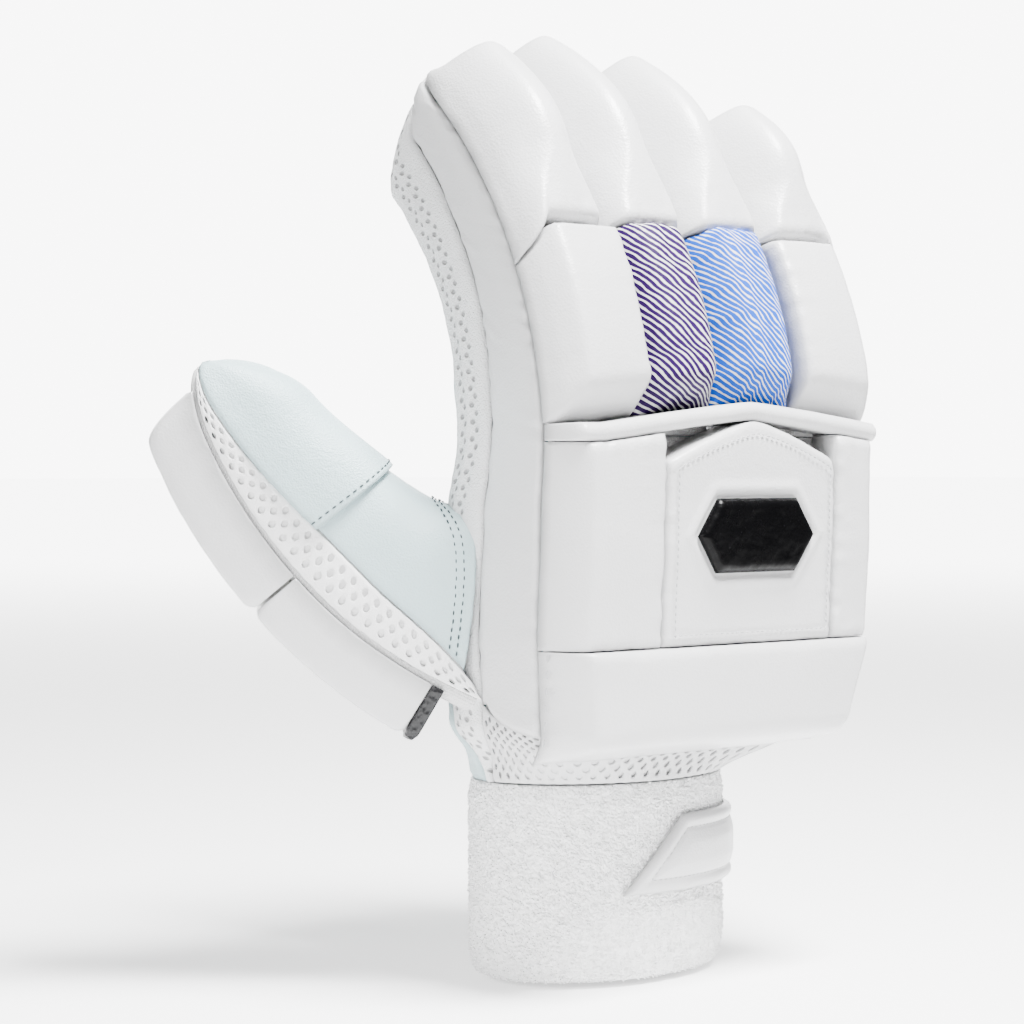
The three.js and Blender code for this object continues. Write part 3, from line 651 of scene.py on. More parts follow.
def plain_mesh(piece):
    """Applies the piece's modifiers to its mesh and removes them."""
    graph = bpy.context.evaluated_depsgraph_get()
    done = bpy.data.meshes.new_from_object(
        piece.evaluated_get(graph), preserve_all_data_layers=True, depsgraph=graph)
    piece.modifiers.clear()
    old = piece.data
    piece.data = done
    done.name = piece.name
    bpy.data.meshes.remove(old)
    return piece


def steps_for(length, step):
    """How many points a length takes at about this step."""
    return max(3, int(round(length / step)) + 1)


class Patch:
    """What a surface's shape can go by: s, the share across, and distances to its edges in mm."""

    def __init__(self, points, s, share):
        self.s = s
        self.share = share
        self.across = arc_lengths(points, 1)
        self.along = arc_lengths(points, 0)
        self.width = self.across[:, -1:]
        self.length = self.along[-1:, :]
        self.left = self.across
        self.right = self.width - self.across
        self.low = self.along
        self.high = self.length - self.along
        self.flat = np.stack([self.across - self.width / 2, self.along], axis=-1)


def turned_in(distance, reach=2.2):
    """How much of a seam's depth leather turns in at a distance from it."""
    return (1 - clamp01(distance / reach)) ** 2


def wall_mesh(name, column, low, high, start, stop, thick, shape=None, step=None, tip=False,
              seams="lrbt", tuck=1.0):
    """A wall of the hollow glove: a band of the cross-sections between two turns. low and high give s
    from the turn, and shape gives the lift of its outer face from its patch."""
    step = step or sizes().grid_step / MM * WALL_STEP_SHARE
    back = np.zeros(1)
    half_way = (low(back) + high(back)) / 2
    middle = column.section(half_way)
    turns = [float(np.ravel(edge(middle))[0]) for edge in (start, stop)]
    probe = ring(column, half_way, np.linspace(*turns, SAMPLES))
    cols = steps_for(arc_lengths(probe[None], 1)[0, -1], step)
    rows = steps_for(float((high(back) - low(back))[0]), step)
    share = np.linspace(0, 1, cols)[None, :]
    up = np.linspace(0, 1, rows)[:, None]
    if tip:
        up = up + 0.12 * up**3 * (1 - up)
    rough = mix(turns[0], turns[1], share)
    s = mix(low(rough), high(rough), up)
    form = column.section(s)
    turn = mix(start(form), stop(form), share)
    base = ring(column, s, turn)
    patch = Patch(base, s, share)
    nearest = np.full(s.shape, 1e3)
    for side, distance in (("l", patch.left), ("r", patch.right), ("b", patch.low), ("t", patch.high)):
        if side in seams:
            nearest = np.minimum(nearest, distance)
    lift = -tuck * sizes().seam_depth / MM * turned_in(nearest)
    if shape:
        lift = lift + shape(patch, nearest)
    outer = ring(column, s, turn, -lift)
    inner = ring(column, s, turn, thick)
    # The edge value is painted shade, darkest at the wall's seams
    return sheet_mesh(name, outer, inner, patch.flat, np.exp(-nearest / SEAM_SHADE_WIDTH))


def pad_mesh(name, column, start, end, left, right, height, edges, soft=0.5, shape=None, step=None,
             crown=None):
    """A pad raised on the back. start and end give s at a share across, left, right and height go by
    the share along. edges are the widths of its four slopes, and soft is 1 for round slopes. A
    narrow slope stands on an upright side."""
    step = step or sizes().grid_step / MM
    crown = sizes().pad_crown / MM if crown is None else crown
    half = np.array([0.5])
    length = float((end(half) - start(half))[0])
    width = float((right(half) - left(half))[0])
    u = np.linspace(0, 1, steps_for(length, step))[:, None]
    v = np.linspace(0, 1, steps_for(width, step))[None, :]
    s = mix(start(v), end(v), u)
    x = mix(left(u), right(u), v)
    wide = right(u) - left(u)
    long = end(v) - start(v)
    gaps = {"left": v * wide, "right": (1 - v) * wide, "low": u * long, "high": (1 - u) * long}
    upright = [side for side in edges if not callable(edges[side]) and edges[side] < STEEP_EDGE]

    def rise(side):
        q = gaps[side] / (edges[side](u) if callable(edges[side]) else edges[side])
        foot = STEEP_FOOT if side in upright else 0
        return mix(foot, 1, mix(ramp(q, PAD_ROUNDING), np.sin(clamp01(q) * math.pi / 2), soft))

    ends = lower_of(rise("low"), rise("high"), PAD_RIDGE)
    sides = lower_of(rise("left"), rise("right"), PAD_RIDGE)
    share = mix(lower_of(ends, sides, PAD_ROUNDING), ends * sides, soft)
    share = np.maximum(share, 0)
    bulge = crown * (1 - (2 * v - 1) ** 2) * (1 - (2 * u - 1) ** 2)
    drop = sunk(column, s, x)
    top = mix(LIP + drop, height(u), share) + bulge
    patch = Patch(column.place(s, x, top), s, v)
    patch.u = u + 0 * v
    patch.v = v + 0 * u
    patch.gaps = gaps
    nearest = np.minimum.reduce([gap + 0 * top for gap in gaps.values()])
    if shape:
        top = top + shape(patch, nearest)
    outer = column.place(s, x, top)
    inner = column.place(s, x, SEAM_GAP + drop)
    flat = np.stack([arc_lengths(outer, 1), arc_lengths(outer, 0)], axis=-1)
    # Painted shade: darkest at the pad's borders, weaker at the top edge of an upright side, and full on
    # the inner face so the gaps between pads look shaded
    edge = 0 * top
    for side, gap in gaps.items():
        shade = np.exp(-(gap + 0 * top) / SEAM_SHADE_WIDTH)
        edge = np.maximum(edge, (UPRIGHT_SHADE if side in upright else 1) * shade)
    return sheet_mesh(name, outer, inner, flat, edge, under=1)


# Materials
def shader_group(name, inputs, outputs):
    group = bpy.data.node_groups.new(name, "ShaderNodeTree")
    for label, kind, value in inputs:
        socket = group.interface.new_socket(label, in_out="INPUT", socket_type=kind)
        if value is not None:
            socket.default_value = value
    for label, kind in outputs:
        group.interface.new_socket(label, in_out="OUTPUT", socket_type=kind)
    return group, Wires(group)


class Wires:
    """Short words for adding and joining the nodes of a tree."""

    def __init__(self, tree):
        self.tree = tree

    def node(self, kind, **settings):
        made = self.tree.nodes.new(kind)
        for key, value in settings.items():
            setattr(made, key, value)
        return made

    def join(self, source, target):
        self.tree.links.new(source, target)

    def math(self, operation, a, b=None, c=None, clamp=False):
        made = self.node("ShaderNodeMath", operation=operation, use_clamp=clamp)
        for socket, value in zip(made.inputs, (a, b, c)):
            if value is None:
                continue
            if isinstance(value, (int, float)):
                socket.default_value = value
            else:
                self.join(value, socket)
        return made.outputs[0]

    def texture(self, kind, vector, scale, detail=None, **settings):
        made = self.node(kind, **settings)
        if vector is not None:
            self.join(vector, made.inputs["Vector"])
        if isinstance(scale, (int, float)):
            made.inputs["Scale"].default_value = scale
        else:
            self.join(scale, made.inputs["Scale"])
        if detail is not None:
            made.inputs["Detail"].default_value = detail
        return made


FLOAT = "NodeSocketFloat"
VECTOR = "NodeSocketVector"


def leather_grain():
    """Fine pebbled grain with soft unevenness."""
    group, w = shader_group(
        "Leather Grain",
        [("Vector", VECTOR, None), ("Pores per Metre", FLOAT, 1500.0), ("Folds per Metre", FLOAT, 60.0)],
        [("Height", FLOAT), ("Tone", FLOAT)])
    start = w.node("NodeGroupInput")
    end = w.node("NodeGroupOutput")
    pores = w.texture("ShaderNodeTexVoronoi", start.outputs["Vector"], start.outputs["Pores per Metre"])
    folds = w.texture("ShaderNodeTexNoise", start.outputs["Vector"], start.outputs["Folds per Metre"], 3)
    fine = w.texture(
        "ShaderNodeTexNoise", start.outputs["Vector"],
        w.math("MULTIPLY", start.outputs["Pores per Metre"], 0.4), 2)
    pits = w.math("MULTIPLY", pores.outputs["Distance"], 0.5)
    uneven = w.math("MULTIPLY_ADD", fine.outputs["Fac"], 0.5, pits)
    w.join(w.math("MULTIPLY_ADD", folds.outputs["Fac"], 1.2, uneven), end.inputs["Height"])
    w.join(folds.outputs["Fac"], end.inputs["Tone"])
    return group


def cloth_weave():
    """Threads that cross at right angles, on the flat cloth."""
    group, w = shader_group(
        "Cloth Weave",
        [("Vector", VECTOR, None), ("Threads per Metre", FLOAT, 1100.0)],
        [("Height", FLOAT), ("Tone", FLOAT)])
    start = w.node("NodeGroupInput")
    end = w.node("NodeGroupOutput")
    split = w.node("ShaderNodeSeparateXYZ")
    w.join(start.outputs["Vector"], split.inputs[0])
    turns = w.math("MULTIPLY", start.outputs["Threads per Metre"], math.pi)
    warp = w.math("ABSOLUTE", w.math("SINE", w.math("MULTIPLY", split.outputs["X"], turns)))
    weft = w.math("ABSOLUTE", w.math("SINE", w.math("MULTIPLY", split.outputs["Y"], turns)))
    fuzz = w.texture("ShaderNodeTexNoise", start.outputs["Vector"], 900, 3)
    w.join(
        w.math("MULTIPLY_ADD", fuzz.outputs["Fac"], 1.1, w.math("MULTIPLY", warp, weft)),
        end.inputs["Height"])
    w.join(fuzz.outputs["Fac"], end.inputs["Tone"])
    return group


def nap():
    """Short soft fibres of towelling or brushed cloth."""
    group, w = shader_group(
        "Nap",
        [("Vector", VECTOR, None), ("Tufts per Metre", FLOAT, 900.0)],
        [("Height", FLOAT), ("Tone", FLOAT)])
    start = w.node("NodeGroupInput")
    end = w.node("NodeGroupOutput")
    tufts = w.texture("ShaderNodeTexVoronoi", start.outputs["Vector"], start.outputs["Tufts per Metre"])
    fibres = w.texture(
        "ShaderNodeTexNoise", start.outputs["Vector"],
        w.math("MULTIPLY", start.outputs["Tufts per Metre"], 1.7), 4)
    w.join(
        w.math("SUBTRACT", fibres.outputs["Fac"], w.math("MULTIPLY", tufts.outputs["Distance"], 0.8)),
        end.inputs["Height"])
    w.join(fibres.outputs["Fac"], end.inputs["Tone"])
    return group


def needle_rows():
    """Two zigzag rows of needle holes along a strip, from its flat layout."""
    group, w = shader_group(
        "Needle Rows",
        [("Vector", VECTOR, None), ("Pitch", FLOAT, 0.0026), ("Row Offset", FLOAT, NEEDLE_ROW * MM),
         ("Zigzag", FLOAT, 0.0009), ("Radius", FLOAT, 0.001)],
        [("Mask", FLOAT)])
    start = w.node("NodeGroupInput")
    end = w.node("NodeGroupOutput")
    split = w.node("ShaderNodeSeparateXYZ")
    w.join(start.outputs["Vector"], split.inputs[0])
    row = w.math("DIVIDE", split.outputs["Y"], start.outputs["Pitch"])
    odd = w.math("MODULO", w.math("FLOOR", row), 2.0)
    swing = w.math("MULTIPLY", w.math("MULTIPLY_ADD", odd, 2.0, -1.0), start.outputs["Zigzag"])
    out = w.math("SUBTRACT", w.math("ABSOLUTE", split.outputs["X"]), start.outputs["Row Offset"])
    across = w.math("ADD", out, swing)
    along = w.math("MULTIPLY", w.math("SUBTRACT", w.math("FRACT", row), 0.5), start.outputs["Pitch"])
    square = w.math("ADD", w.math("MULTIPLY", across, across), w.math("MULTIPLY", along, along))
    far = w.math("SQRT", square)
    near = w.math("SUBTRACT", 1.0, w.math("DIVIDE", far, start.outputs["Radius"]), clamp=True)
    w.join(w.math("SMOOTH_MIN", w.math("MULTIPLY", near, 1.8), 1.0, 0.2), end.inputs["Mask"])
    return group


def hatched_print():
    """Rough printed lines that slope across a pad and turn steeper towards its lower right."""
    group, w = shader_group(
        "Hatched Print",
        [("Vector", VECTOR, None), ("Line Spacing", FLOAT, 2.7), ("Slope", FLOAT, 0.42),
         ("Turn", FLOAT, 0.0075), ("Pad Length", FLOAT, 70.0), ("Line Weight", FLOAT, 0.3)],
        [("Mask", FLOAT)])
    start = w.node("NodeGroupInput")
    end = w.node("NodeGroupOutput")
    split = w.node("ShaderNodeSeparateXYZ")
    w.join(start.outputs["Vector"], split.inputs[0])
    x = split.outputs["X"]
    y = split.outputs["Y"]
    steeper = w.math("SUBTRACT", 1.9, w.math("DIVIDE", y, start.outputs["Pad Length"]))
    turned = w.math("MULTIPLY", w.math("MULTIPLY", x, x), start.outputs["Turn"])
    turned = w.math("MULTIPLY", turned, steeper)
    rise = w.math("ADD", w.math("MULTIPLY_ADD", x, start.outputs["Slope"], y), turned)
    wave = w.texture("ShaderNodeTexNoise", start.outputs["Vector"], 0.09, 1)
    ragged = w.texture("ShaderNodeTexNoise", start.outputs["Vector"], 0.9, 4)
    bent = w.math("MULTIPLY_ADD", w.math("SUBTRACT", wave.outputs["Fac"], 0.5), 0.5, rise)
    bent = w.math("MULTIPLY_ADD", w.math("SUBTRACT", ragged.outputs["Fac"], 0.5), 0.5, bent)
    turns = w.math("MULTIPLY", w.math("DIVIDE", bent, start.outputs["Line Spacing"]), 2 * math.pi)
    width = w.texture("ShaderNodeTexNoise", start.outputs["Vector"], 0.22, 3)
    uneven = w.math("SUBTRACT", width.outputs["Fac"], 0.5)
    level = w.math("MULTIPLY_ADD", uneven, 1.8, w.math("SINE", turns))
    level = w.math("ADD", level, start.outputs["Line Weight"])
    w.join(w.math("MULTIPLY_ADD", level, 4.5, 0.5, clamp=True), end.inputs["Mask"])
    return group


GROUPS = {"Leather Grain": leather_grain, "Cloth Weave": cloth_weave, "Nap": nap,
          "Hatched Print": hatched_print, "Needle Rows": needle_rows}


def group_node(w, name, vector, values):
    """Places a shader node group with its own values, built the first time it is asked for."""
    made = w.node("ShaderNodeGroup", node_tree=bpy.data.node_groups.get(name) or GROUPS[name]())
    w.join(vector, made.inputs["Vector"])
    for label, value in values.items():
        made.inputs[label].default_value = value
    return made


def flat_place(w):
    """A point's place on the cloth before it was sewn."""
    return w.node("ShaderNodeUVMap", uv_map="flat").outputs["UV"]


def finish_material(name, base, relief, scales, depth, roughness, tone=0.06, seam_tone=0.12,
                    coat=0.0, sheen=0.0, on_flat=False, ink=None, specular=0.5, needles=0.0):
    """A material with a relief group for its grain. base is its colour, roughness its range, tone how
    far the unevenness darkens it, seam_tone how far painted shade darkens its seams and gaps, needles
    how deep its needle holes are and how far painted shade darkens them, and ink the colour and
    settings of a print."""
    done = bpy.data.materials.get(name)
    if done:
        return done
    done = bpy.data.materials.new(name)
    done.use_nodes = True
    w = Wires(done.node_tree)
    shader = done.node_tree.nodes["Principled BSDF"]
    shader.inputs["Roughness"].default_value = roughness[0]
    shader.inputs["Coat Weight"].default_value = coat
    shader.inputs["Coat Roughness"].default_value = COAT_ROUGHNESS
    shader.inputs["Sheen Weight"].default_value = sheen
    shader.inputs["Sheen Roughness"].default_value = SHEEN_ROUGHNESS
    shader.inputs["Specular IOR Level"].default_value = specular
    place = flat_place(w) if on_flat else w.node("ShaderNodeTexCoord").outputs["Object"]
    grain = group_node(w, relief, place, scales)
    height = grain.outputs["Height"]
    if needles:
        rows = group_node(w, "Needle Rows", flat_place(w), {})
        height = w.math("MULTIPLY_ADD", rows.outputs["Mask"], -needles, height)
    bump = w.node("ShaderNodeBump")
    bump.inputs["Strength"].default_value = 1.0
    bump.inputs["Distance"].default_value = depth
    w.join(height, bump.inputs["Height"])
    w.join(bump.outputs["Normal"], shader.inputs["Normal"])
    span = w.node("ShaderNodeMapRange")
    w.join(grain.outputs["Tone"], span.inputs["Value"])
    span.inputs["From Min"].default_value = TONE_LOW
    span.inputs["From Max"].default_value = TONE_HIGH
    span.inputs["To Min"].default_value = roughness[0]
    span.inputs["To Max"].default_value = roughness[1]
    w.join(span.outputs["Result"], shader.inputs["Roughness"])
    # The edge attribute is painted shade at seams and in gaps; shade adds it to the grain's own tone
    edge = w.node("ShaderNodeAttribute", attribute_name="edge")
    shade = w.math("MULTIPLY", grain.outputs["Tone"], tone)
    shade = w.math("MULTIPLY_ADD", edge.outputs["Fac"], seam_tone, shade, clamp=True)
    # Painted shade in the needle holes
    if needles:
        shade = w.math("MULTIPLY_ADD", rows.outputs["Mask"], NEEDLE_SHADE, shade, clamp=True)
    paint = w.node("ShaderNodeMix", data_type="RGBA")
    w.join(shade, paint.inputs["Factor"])
    paint.inputs["A"].default_value = (*base, 1)
    paint.inputs["B"].default_value = (*[part * SHADE_SHARE for part in base], 1)
    result = paint.outputs["Result"]
    if ink:
        result = printed(w, result, ink)
    w.join(result, shader.inputs["Base Color"])
    return done


def printed(w, ground, ink):
    """Lays a hatched print over the ground colour."""
    tint, values = ink
    local = w.node("ShaderNodeMapping")
    local.inputs["Scale"].default_value = (1 / MM,) * 3
    w.join(flat_place(w), local.inputs["Vector"])
    hatch = group_node(w, "Hatched Print", local.outputs["Vector"], values)
    over = w.node("ShaderNodeMix", data_type="RGBA")
    w.join(hatch.outputs["Mask"], over.inputs["Factor"])
    w.join(ground, over.inputs["A"])
    over.inputs["B"].default_value = (*tint, 1)
    return over.outputs["Result"]


LEATHER_SCALES = {"Pores per Metre": 1300.0, "Folds per Metre": 45.0}


def white_leather():
    return finish_material(
        "Coated white leather", colours().white_leather, "Leather Grain", LEATHER_SCALES, 0.00016,
        (0.34, 0.44), coat=0.25, seam_tone=0.5)


def palm_leather():
    return finish_material(
        "Soft palm leather", colours().palm_leather, "Leather Grain",
        {"Pores per Metre": 1700.0, "Folds per Metre": 90.0}, 0.0003, (0.42, 0.55), tone=0.1,
        seam_tone=0.3)


def suede():
    return finish_material(
        "Brushed suede cloth", colours().suede, "Nap", {"Tufts per Metre": 1500.0}, 0.0003,
        (0.8, 0.95), tone=0.1, sheen=0.3, seam_tone=0.2, needles=3.4)


def knit():
    return finish_material(
        "White knit", colours().knit, "Cloth Weave", {"Threads per Metre": 1100.0}, 0.0002,
        (0.75, 0.9), on_flat=True, sheen=0.2)


def air_mesh():
    return open_mesh("Air mesh", colours().air_mesh)


# The air mesh coloured darker, as painted shade beneath the wrist bar
def wrist_mesh_in_painted_shade():
    return open_mesh("Wrist air mesh", colours().wrist_mesh)


def open_mesh(name, base):
    return finish_material(
        name, base, "Nap", {"Tufts per Metre": 2200.0}, 0.00015, (0.6, 0.75),
        sheen=0.2, seam_tone=0.0)


def towelling():
    return finish_material(
        "Towelling", colours().towelling, "Nap", {"Tufts per Metre": 750.0}, 0.001, (0.85, 0.98),
        tone=0.1, sheen=0.4, seam_tone=0.1)


def gel():
    return finish_material(
        "Black gel", colours().gel, "Leather Grain",
        {"Pores per Metre": 420.0, "Folds per Metre": 160.0}, 0.0002, (0.2, 0.3), tone=0.0,
        seam_tone=0.0, specular=0.08)


# The near-black sheet at the root end of the base thumb pad
def lining():
    return finish_material(
        "Dark lining", colours().lining, "Leather Grain",
        {"Pores per Metre": 500.0, "Folds per Metre": 110.0}, 0.0011, (0.18, 0.32), seam_tone=0.0,
        specular=0.3)


def thread(name, base):
    return finish_material(
        name, base, "Cloth Weave", {"Threads per Metre": 2500.0}, 0.00004, (0.5, 0.6), seam_tone=0.0)


# Geometry Nodes
class Tree(Wires):
    """A Geometry Nodes tree with named inputs that ends in real faces of one material."""

    def __init__(self, name, inputs):
        tree = bpy.data.node_groups.new(name, "GeometryNodeTree")
        super().__init__(tree)
        for label, kind, value in [("Geometry", "NodeSocketGeometry", None), *inputs,
                                   ("Material", "NodeSocketMaterial", None)]:
            socket = tree.interface.new_socket(label, in_out="INPUT", socket_type=kind)
            if value is not None:
                socket.default_value = value
        tree.interface.new_socket("Geometry", in_out="OUTPUT", socket_type="NodeSocketGeometry")
        self.start = self.node("NodeGroupInput")
        self.inputs = self.start.outputs

    def step(self, kind, values=(), **settings):
        made = self.node(kind, **settings)
        for label, value in dict(values).items():
            socket = next(s for s in made.inputs if s.name == label and s.enabled)
            if isinstance(value, bpy.types.NodeSocket):
                self.join(value, socket)
            else:
                socket.default_value = value
        return made

    def end(self, geometry):
        real = self.step("GeometryNodeRealizeInstances", {"Geometry": geometry})
        painted = self.step(
            "GeometryNodeSetMaterial",
            {"Geometry": real.outputs["Geometry"], "Material": self.inputs["Material"]})
        out = self.node("NodeGroupOutput")
        self.join(painted.outputs["Geometry"], out.inputs["Geometry"])
        return self.tree


def perforated_tree():
    """Opens a hole in each marked face and gives the sheet its thickness, with round corners."""
    t = Tree("Perforated Mesh", [("Opening", FLOAT, 0.6), ("Thickness", FLOAT, 0.0009)])
    marked = t.step("GeometryNodeInputNamedAttribute", {"Name": "hole"}, data_type="BOOLEAN")
    inset = t.step(
        "GeometryNodeExtrudeMesh",
        {"Mesh": t.inputs["Geometry"], "Selection": marked.outputs["Attribute"], "Offset Scale": 0.0,
         "Individual": True},
        mode="FACES")
    small = t.step(
        "GeometryNodeScaleElements",
        {"Geometry": inset.outputs["Mesh"], "Selection": inset.outputs["Top"],
         "Scale": t.inputs["Opening"]},
        domain="FACE")
    open_sheet = t.step(
        "GeometryNodeDeleteGeometry",
        {"Geometry": small.outputs["Geometry"], "Selection": inset.outputs["Top"]}, domain="FACE")
    depth = t.math("MULTIPLY", t.inputs["Thickness"], -1.0)
    pushed = t.step(
        "GeometryNodeExtrudeMesh",
        {"Mesh": open_sheet.outputs["Geometry"], "Offset Scale": depth, "Individual": False},
        mode="FACES")
    back = t.step("GeometryNodeFlipFaces", {"Mesh": pushed.outputs["Mesh"]})
    both = t.node("GeometryNodeJoinGeometry")
    t.join(back.outputs["Mesh"], both.inputs["Geometry"])
    t.join(open_sheet.outputs["Geometry"], both.inputs["Geometry"])
    merged = t.step(
        "GeometryNodeMergeByDistance", {"Geometry": both.outputs["Geometry"], "Distance": 0.00001})
    round_sheet = t.step(
        "GeometryNodeSubdivisionSurface", {"Mesh": merged.outputs["Geometry"], "Level": 1})
    soft = t.step("GeometryNodeSetShadeSmooth", {"Geometry": round_sheet.outputs["Mesh"]})
    return t.end(soft.outputs["Geometry"])


def stitch_tree():
    """Sets a stitch at equal steps along each line."""
    t = Tree("Stitch Row", [("Pitch", FLOAT, 0.0026), ("Width", FLOAT, 0.0006), ("Length", FLOAT, 0.0015)])
    curve = t.step("GeometryNodeMeshToCurve", {"Mesh": t.inputs["Geometry"]})
    spaced = t.step(
        "GeometryNodeResampleCurve", {"Curve": curve.outputs["Curve"], "Length": t.inputs["Pitch"]},
        mode="LENGTH")
    along = t.node("GeometryNodeInputTangent")
    turn = t.step("FunctionNodeAlignRotationToVector", {"Vector": along.outputs["Tangent"]}, axis="Z")
    bead = t.step("GeometryNodeMeshUVSphere", {"Segments": 6, "Rings": 5, "Radius": 0.5})
    size = t.step(
        "ShaderNodeCombineXYZ",
        {"X": t.inputs["Width"], "Y": t.inputs["Width"], "Z": t.inputs["Length"]})
    rows = t.step(
        "GeometryNodeInstanceOnPoints",
        {"Points": spaced.outputs["Curve"], "Instance": bead.outputs["Mesh"],
         "Rotation": turn.outputs["Rotation"], "Scale": size.outputs["Vector"]})
    soft = t.step("GeometryNodeSetShadeSmooth", {"Geometry": rows.outputs["Instances"]})
    return t.end(soft.outputs["Geometry"])


def loop_tree():
    """Scatters the round tops of small yarn loops over a surface."""
    t = Tree("Towel Loops", [("Density", FLOAT, 300000.0), ("Height", FLOAT, 0.0008),
                             ("Seed", "NodeSocketInt", 7)])
    spread = t.step(
        "GeometryNodeDistributePointsOnFaces",
        {"Mesh": t.inputs["Geometry"], "Density": t.inputs["Density"], "Seed": t.inputs["Seed"]},
        distribute_method="RANDOM")
    tuft = t.step("GeometryNodeMeshIcoSphere", {"Radius": t.inputs["Height"], "Subdivisions": 1})
    upright = t.step("GeometryNodeTransform", {"Geometry": tuft.outputs["Mesh"], "Scale": (0.75, 0.5, 1.0)})
    spin = t.step(
        "FunctionNodeRandomValue", {"Min": (-0.5, -0.5, 0), "Max": (0.5, 0.5, 2 * math.pi), "Seed": 3},
        data_type="FLOAT_VECTOR")
    swing = t.step("FunctionNodeEulerToRotation", {"Euler": spin.outputs["Value"]})
    turn = t.step(
        "FunctionNodeRotateRotation",
        {"Rotation": spread.outputs["Rotation"], "Rotate By": swing.outputs["Rotation"]},
        rotation_space="LOCAL")
    size = t.step("FunctionNodeRandomValue", {"Min": 0.55, "Max": 1.0, "Seed": 5}, data_type="FLOAT")
    loops = t.step(
        "GeometryNodeInstanceOnPoints",
        {"Points": spread.outputs["Points"], "Instance": upright.outputs["Geometry"],
         "Rotation": turn.outputs["Rotation"], "Scale": size.outputs["Value"]})
    soft = t.step("GeometryNodeSetShadeSmooth", {"Geometry": loops.outputs["Instances"]})
    return t.end(soft.outputs["Geometry"])


TREES = {"Perforated Mesh": perforated_tree, "Stitch Row": stitch_tree, "Towel Loops": loop_tree}


def run_tree(name, mesh, tree_name, material, values):
    """Turns a mesh into what a tree makes of it, as a plain mesh."""
    tree = bpy.data.node_groups.get(tree_name) or TREES[tree_name]()
    sockets = {item.name: item.identifier for item in tree.interface.items_tree
               if item.in_out == "INPUT"}
    piece = new_piece(name, mesh, None)
    modifier = piece.modifiers.new(tree_name, "NODES")
    modifier.node_group = tree
    for label, value in {**values, "Material": material}.items():
        modifier[sockets[label]] = value
    return plain_mesh(piece)


def lattice_mesh(name, place, width, length, pitch):
    """A sheet of diamond cells on a surface, whose inner cells are marked to be opened. place gives
    points in millimetres from shares across and along and a lift."""
    cols = 2 * max(2, int(round(width / pitch)))
    rows = 2 * max(2, int(round(length / pitch)))
    j, i = np.meshgrid(np.arange(cols + 1), np.arange(rows + 1))
    points = place(j / cols, i / rows, 0.0).reshape(-1, 3) * MM
    half = np.array([0.5])
    outwards = place(half, half, 1.0) - place(half, half, 0.0)
    faces = []
    holes = []

    def at(row, col):
        return row * (cols + 1) + col

    for row in range(rows + 1):
        for col in range((row + 1) % 2, cols + 1, 2):
            around = [(row - 1, col), (row, col + 1), (row + 1, col), (row, col - 1)]
            inside = [at(a, b) for a, b in around if 0 <= a <= rows and 0 <= b <= cols]
            if len(inside) == 4:
                faces.append(inside)
                holes.append(True)
            elif len(inside) == 3:
                missing = next(k for k, (a, b) in enumerate(around)
                               if not (0 <= a <= rows and 0 <= b <= cols))
                order = [around[(missing + k) % 4] for k in (1, 2, 3)]
                faces.append([at(*order[0]), at(*order[1]), at(*order[2]), at(row, col)])
                holes.append(False)
    mesh = bpy.data.meshes.new(name)
    mesh.from_pydata(points.tolist(), [], faces)
    mark = mesh.attributes.new("hole", "BOOLEAN", "FACE")
    mark.data.foreach_set("value", holes)
    middle = mesh.polygons[len(mesh.polygons) // 2]
    if middle.normal.dot(Vector(outwards[0])) < 0:
        mesh.flip_normals()
    return mesh


def add_wall(name, slot, material, *args, nodes=None, **options):
    """A sheet of leather or cloth in place of its nodes."""
    mesh = wall_mesh(name, *args, **options)
    piece = finish_piece(new_piece(name + "_skin", mesh, material), slot, *(nodes or [name]))


def add_pad(name, slot, material, *args, stuffing=0.0, **options):
    """A stuffed leather cover in place of its node."""
    mesh = pad_mesh(name, *args, **options)
    piece = new_piece(name + "_cover", mesh, material)
    if stuffing:
        stuff(piece, stuffing)
    finish_piece(piece, slot, name)


def stuff(piece, cap):
    """Swells a pad by a cloth simulation that holds its edge, and keeps each point's move under cap."""
    mesh = piece.data
    count = len(mesh.vertices)
    rest = np.empty(count * 3)
    mesh.vertices.foreach_get("co", rest)
    rest = rest.reshape(-1, 3)
    edge = np.empty(count)
    mesh.attributes["edge"].data.foreach_get("value", edge)
    held = piece.vertex_groups.new(name="held")
    outer = np.arange(count) < count // 2
    fixed_points = np.nonzero(~outer | (edge > HELD_EDGE))[0]
    held.add(fixed_points.tolist(), 1.0, "REPLACE")
    settings = piece.modifiers.new("Cloth", "CLOTH").settings
    settings.vertex_group_mass = "held"
    settings.use_pressure = True
    settings.uniform_pressure_force = STUFFING_PRESSURE
    settings.effector_weights.gravity = 0
    scene = bpy.context.scene
    for frame_number in range(1, STUFFING_FRAMES + 1):
        scene.frame_set(frame_number)
    graph = bpy.context.evaluated_depsgraph_get()
    swollen = piece.evaluated_get(graph).to_mesh()
    moved = np.empty(count * 3)
    swollen.vertices.foreach_get("co", moved)
    piece.evaluated_get(graph).to_mesh_clear()
    piece.modifiers.clear()
    piece.vertex_groups.clear()
    scene.frame_set(1)
    move = moved.reshape(-1, 3) - rest
    size = np.linalg.norm(move, axis=1, keepdims=True)
    move *= np.minimum(1, cap / np.maximum(size, 1e-9))
    print("stuffed", piece.name, "mean move mm", round(float(size.mean() / MM), 2))
    mesh.vertices.foreach_set("co", (rest + move).reshape(-1))
    mesh.update()


def add_stitches(name, paths, material, slot, pitch=None, width=None):
    """Rows of stitches along paths of points in millimetres."""
    pitch = pitch or sizes().stitch_pitch
    width = width or sizes().stitch_width
    points = []
    edges = []
    for path in paths:
        first = len(points)
        points += (np.asarray(path) * MM).tolist()
        edges += [(k, k + 1) for k in range(first, len(points) - 1)]
    mesh = bpy.data.meshes.new(name)
    mesh.from_pydata(points, edges, [])
    piece = run_tree(name, mesh, "Stitch Row", material,
                     {"Pitch": pitch, "Width": width, "Length": pitch * STITCH_SHARE})
    finish_piece(piece, slot)


